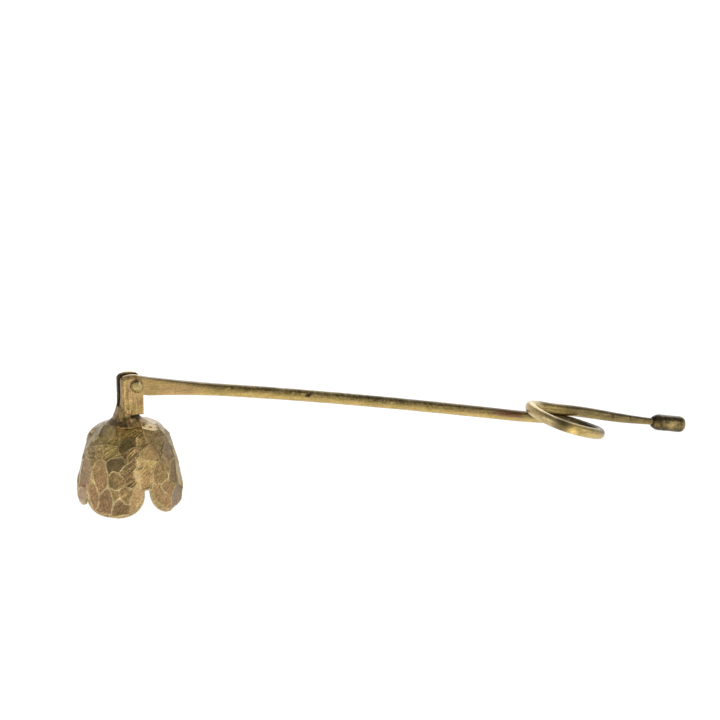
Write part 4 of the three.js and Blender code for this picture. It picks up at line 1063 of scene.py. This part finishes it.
    # painted sheen at the loop's left and right turns, with the painted highlight of the left one, and a faint milky
    # sheen along the tail
    loop_end_sheen = np.exp(-(((V - np.array([160.6, -3.0, 18.5])) / np.array([3.2, 9.0, 5.0])) ** 2).sum(-1))
    loop_end_sheen = np.maximum(loop_end_sheen, np.exp(-(((V - np.array([185.5, -10.0, 11.0])) / np.array([3.6, 14.0, 5.0])) ** 2).sum(-1)))
    painted_sheen = np.clip(np.maximum(0.4 * loop_end_sheen, 0.45 * left_end_highlight) + 0.08 * tail_zone, 0, 1)
    hue = hue * (1 - 0.8 * loop_side)
    tail2 = lambda a: np.concatenate([a.ravel(), a[0].mean(keepdims=True), a[-1].mean(keepdims=True)])
    A = {k: tail2(v * np.ones(X.shape)) for k, v in dict(wear_and_highlight=wear_and_highlight, tone=tone, dirt_and_shade=dirt_and_shade, hue=hue, scratch=0.0, painted_sheen=painted_sheen).items()}
    ob = make("handle", verts, faces, "handle", ["handle_bar"], material, A)
    # close the two ends
    import bmesh
    bm = bmesh.new()
    bm.from_mesh(ob.data)
    bm.verts.ensure_lookup_table()
    for t3 in list(tri0[:, :3]) + list(tri1[:, :3]):
        f = bm.faces.new([bm.verts[int(i)] for i in t3])
        f.smooth = True
    bm.normal_update()
    bm.to_mesh(ob.data)
    bm.free()
    return ob


# darker and brighter places on the finger loop, partly its own dark patches and partly painted highlights and painted
# shade: where, how large, how many stops
LOOP_MARKS_AND_LIGHT = [
    ((165.8, -24.9, 18.3), (3.0, 2.8, 2.8), -2.4),
    ((169.8, -27.0, 16.6), (2.1, 2.2, 1.8), 1.9),
    ((171.8, -27.0, 16.0), (1.2, 2.2, 1.8), -0.7),
    ((161.0, -20.5, 20.0), (2.0, 2.4, 2.0), -0.5),
    ((176.5, -27.2, 14.4), (2.5, 2.2, 1.8), 0.35),
    ((186.0, -11.0, 10.4), (4.0, 10.0, 3.5), -1.2),
    ((177.0, 0.0, 15.0), (6.0, 2.5, 1.6), -0.8),
    ((207.5, -1.4, 9.2), (0.35, 0.9, 0.9), -1.6),
    ((160.0, -12.0, 22.6), (2.0, 6.0, 1.4), 0.7),
    ((161.0, -6.0, 19.0), (3.0, 7.0, 3.2), 0.5),
    ((199.5, -1.6, 10.8), (0.5, 0.9, 0.9), -1.6),

]
# x along the rod, and where on it: sideways and up from its middle, size, depth
PITS = [(70.3, -1.9, 0.9, 1.15, 1.0), (71.2, -1.6, 1.5, 0.6, 0.9), (69.4, -2.1, 0.5, 0.6, 0.9)]
_r = np.random.default_rng(5)
for _ in range(26):
    _x = _r.uniform(90, 103)
    _a = _r.uniform(math.radians(15), math.radians(80))
    PITS.append((_x, -2.2 * math.cos(_a), 2.2 * math.sin(_a), _r.uniform(0.18, 0.42), _r.uniform(0.35, 0.8)))
for _ in range(30):
    _x = _r.uniform(40, 150)
    _a = _r.uniform(math.radians(-200), math.radians(80))
    PITS.append((_x, -2.2 * math.cos(_a), 2.2 * math.sin(_a), _r.uniform(0.12, 0.28), _r.uniform(0.15, 0.45)))


# ---------------------------------------------------------------- knob
def build_knob(material):
    Lk, R = 14.4, 3.3
    prof_pts = np.array([[1.36, 0.9], [1.40, 0.25], [1.62, 0.0], [1.95, 0.05], [2.25, 0.4], [2.6, 0.95], [2.95, 1.6], [3.18, 2.3], [3.27, 3.2], [3.28, 5.0],
                         [3.24, 8.0], [3.27, 11.0], [3.24, 12.6], [3.1, 13.4], [2.75, 14.0], [2.2, 14.32], [1.4, 14.4], [0.5, 14.4], [0.02, 14.4]])
    pr = hermite(prof_pts, 8)
    ax = KNOB_DIR
    up = np.cross(ax, [0, 1.0, 0])
    up /= np.linalg.norm(up)
    if up[2] < 0:
        up = -up
    sd = np.cross(up, ax)
    low = 3.3 * math.sqrt(1 - ax[2] ** 2)
    # the CAD barrel is let down until it rests at the level of the bell's feet
    lo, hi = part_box("barrel_knob")
    M = 84
    th = np.arange(M) / M * 2 * math.pi
    r, a = pr[:, 0], pr[:, 1]
    rings = KNOB_AT + a[:, None, None] * ax + (r[:, None] * np.cos(th))[..., None] * sd + (r[:, None] * np.sin(th))[..., None] * up
    want = (lo[2] + hi[2]) / 2 * 1000
    have = (rings[..., 2].max() + rings[..., 2].min()) / 2
    rings = rings + np.array([0, 0, want - have])
    d = rings - (KNOB_AT + np.array([0, 0, want - have]) + a[:, None, None] * ax)
    nr = d / np.maximum(np.linalg.norm(d, axis=-1, keepdims=True), 1e-6)
    body = smoothstep(0.9, 2.2, a)[:, None]
    dent = 0.05 * fbm(rings, 2.2, 121) - 0.05
    # turned grooves at the shoulder, and a few file flats along the barrel
    flat = 0.05 * np.cos(th * 9 + 0.6)[None] * smoothstep(2.0, 3.5, a)[:, None] * smoothstep(14.2, 12.5, a)[:, None]
    ring_cut = -0.14 * np.exp(-((a - 4.1) / 0.22) ** 2)[:, None] * (0.6 + 0.4 * np.sin(th * 2 + 1))[None]
    rings = rings + nr * (body * (dent + flat * 0.6 + ring_cut))[..., None]
    n = len(r)
    verts = rings.reshape(-1, 3)
    faces = grid_faces(n, M, flip=True)
    g = fbm(rings, 1.6, 123)
    topside = np.sin(th)[None] * np.ones((n, 1))
    shoulder = np.exp(-((a - 3.4) / 1.5) ** 2)[:, None]
    dirt_and_shade = np.clip(0.75 * shoulder * np.clip(0.3 + 1.2 * fbm(rings, 0.9, 124), 0, 1) + 0.7 * np.exp(-(a / 0.5) ** 2)[:, None], 0, 0.9)
    # the tone is painted shade by which way the barrel faces: darkest on top, dark beneath, lightest on the sides; a
    # lighter band round the middle and the worn colour on its sides are a painted highlight
    A = dict(wear_and_highlight=(0.3 * np.clip(g, 0, 1) + 0.3 * np.exp(-((a - 13.6) / 0.7) ** 2)[:, None] + 0.3 * np.exp(-((a - 7.4) / 1.8) ** 2)[:, None] * smoothstep(-0.75, -0.3, topside) * smoothstep(0.55, 0.2, topside)) * np.ones((n, M)), dirt_and_shade=dirt_and_shade * np.ones((n, M)),
             tone=(-1.75 + 0.9 * g + np.interp(topside, [-0.9, -0.5, -0.1, 0.25, 0.6, 1.0], [-1.2, -0.5, 0.6, 0.3, -1.2, -1.9]) - 0.9 * np.exp(-((a - 4.9) / 0.35) ** 2)[:, None] - 0.8 * np.exp(-((a - 10.6) / 0.3) ** 2)[:, None] * (np.cos(th) < 0.2)[None] + 0.6 * np.exp(-((a - 7.6) / 1.2) ** 2)[:, None]), hue=0.1 + 0.5 * fbm(rings, (3.0, 0.9, 0.9), 125), scratch=np.full((n, M), 0.15))
    ob = make("knob", verts, faces, "handle", ["barrel_knob"], material, {k: v.ravel() for k, v in A.items()})
    import bmesh
    bm = bmesh.new()
    bm.from_mesh(ob.data)
    edges = [e for e in bm.edges if e.is_boundary]
    bmesh.ops.holes_fill(bm, edges=edges, sides=0)
    bmesh.ops.recalc_face_normals(bm, faces=bm.faces)
    for f in bm.faces:
        f.smooth = True
    bm.to_mesh(ob.data)
    bm.free()
    return ob


bell_mat = brass("hammered_brass", grain=1.25, painted_glance_sheen=0.6)
fork_mat = brass("fork_brass", body=(0.47, 0.325, 0.155), grain=1.0, streak=(2.0, 2.0, 0.14), rough=(0.36, 0.52), speck=0.35, mottle=0.8)
braze_mat = brass("braze_brass", body=(0.36, 0.25, 0.12), rough=(0.42, 0.6), speck=0.8)
rivet_mat = brass("rivet_brass", body=(0.42, 0.33, 0.155), rough=(0.40, 0.52), speck=0.2, mottle=0.6)
bar_mat = brass("bar_brass", body=(0.46, 0.325, 0.135), streak=(0.15, 2.6, 2.6), rough=(0.30, 0.44), speck=0.5, mottle=0.5, grain=0.6, painted_glance_sheen=0.3)
knob_mat = brass("knob_brass", body=(0.42, 0.28, 0.085), streak=(0.2, 2.4, 2.4), rough=(0.22, 0.36), speck=0.6, mottle=1.1, painted_glance_sheen=0.35)

build_bell(bell_mat)
build_fork(fork_mat)
build_braze(braze_mat)
build_rivet(rivet_mat)
build_bar(bar_mat)
build_knob(knob_mat)

# ---------------------------------------------------------------- floor, light and camera
me = bpy.data.meshes.new("floor")
F = 6.0
me.from_pydata([(-F, -F, -0.00005), (F, -F, -0.00005), (F, F, -0.00005), (-F, F, -0.00005)], [], [(0, 1, 2, 3)])
floor = bpy.data.objects.new("floor", me)
bpy.context.scene.collection.objects.link(floor)
fm = bpy.data.materials.new("floor_white")
fm.use_nodes = True
fb = fm.node_tree.nodes["Principled BSDF"]
fb.inputs["Base Color"].default_value = (0.16, 0.16, 0.16, 1)
fb.inputs["Emission Color"].default_value = (1.0, 1.0, 1.0, 1)
fb.inputs["Emission Strength"].default_value = 0.97
fb.inputs["Roughness"].default_value = 0.9
fb.inputs["Specular IOR Level"].default_value = 0.1
me.materials.append(fm)

world = bpy.data.worlds.new("studio")
bpy.context.scene.world = world
world.use_nodes = True
wt = world.node_tree
bg = wt.nodes["Background"]
wc = wt.nodes.new("ShaderNodeTexCoord")
wx = wt.nodes.new("ShaderNodeSeparateXYZ")
ramp = wt.nodes.new("ShaderNodeValToRGB")
wt.links.new(wc.outputs["Generated"], wx.inputs[0])
wt.links.new(wx.outputs["Z"], ramp.inputs[0])
wt.links.new(ramp.outputs[0], bg.inputs[0])
stops = [(0.0, 0.95), (0.26, 0.80), (0.55, 0.62), (0.80, 0.42), (0.95, 0.29), (1.0, 0.27)]  # height of the direction, brightness
el_ = ramp.color_ramp.elements
while len(el_) < len(stops):
    el_.new(0.5)
for e_, (pos, val) in zip(el_, stops):
    e_.position = pos
    e_.color = (val, val, val, 1)
bg.inputs[1].default_value = 1.0


def softbox(name, at, look, size, power, size_y=None):
    d = bpy.data.lights.new(name, "AREA")
    d.shape = "RECTANGLE"
    d.size = size
    d.size_y = size_y or size
    d.energy = power
    o = bpy.data.objects.new(name, d)
    bpy.context.scene.collection.objects.link(o)
    o.location = at
    o.rotation_euler = (Vector(look) - Vector(at)).to_track_quat("-Z", "Y").to_euler()
    return o


softbox("left", (-1.3, -0.75, 0.65), (-0.05, 0, 0.02), 0.8, 4)
softbox("right", (1.2, -0.9, 0.6), (0.05, 0, 0.02), 0.8, 4)
softbox("back", (0.75, 1.0, 0.75), (-0.1, 0, 0.03), 1.2, 6)

# The camera: 1 m from the bell, 17 degrees up, 21 degrees round to the bell's side, with the bell low at the left.
el, az = math.radians(17), math.radians(-21)
back = Vector((math.sin(az) * math.cos(el), -math.cos(az) * math.cos(el), math.sin(el)))
right = Vector((math.cos(az), math.sin(az), 0))
up = back.cross(right)
focal = 1.0 / 0.000375  # pixels
u, v = (130.7 - 360) / focal, -(501.8 - 360) / focal
centre = -((-back) + right * u + up * v) * 1.0 + Vector((SHIFT[0] / 1000, SHIFT[1] / 1000, 0))
cam = bpy.data.cameras.new("camera")
cam.sensor_width = 36
cam.lens = focal / 720 * 36
cam.clip_start, cam.clip_end = 0.05, 30
co = bpy.data.objects.new("camera", cam)
bpy.context.scene.collection.objects.link(co)
co.matrix_world = Matrix((
    (right.x, up.x, back.x, centre.x),
    (right.y, up.y, back.y, centre.y),
    (right.z, up.z, back.z, centre.z),
    (0, 0, 0, 1),
))
bpy.context.scene.camera = co
bpy.context.scene.view_settings.view_transform = "Standard"
bpy.context.scene.view_settings.look = "None"
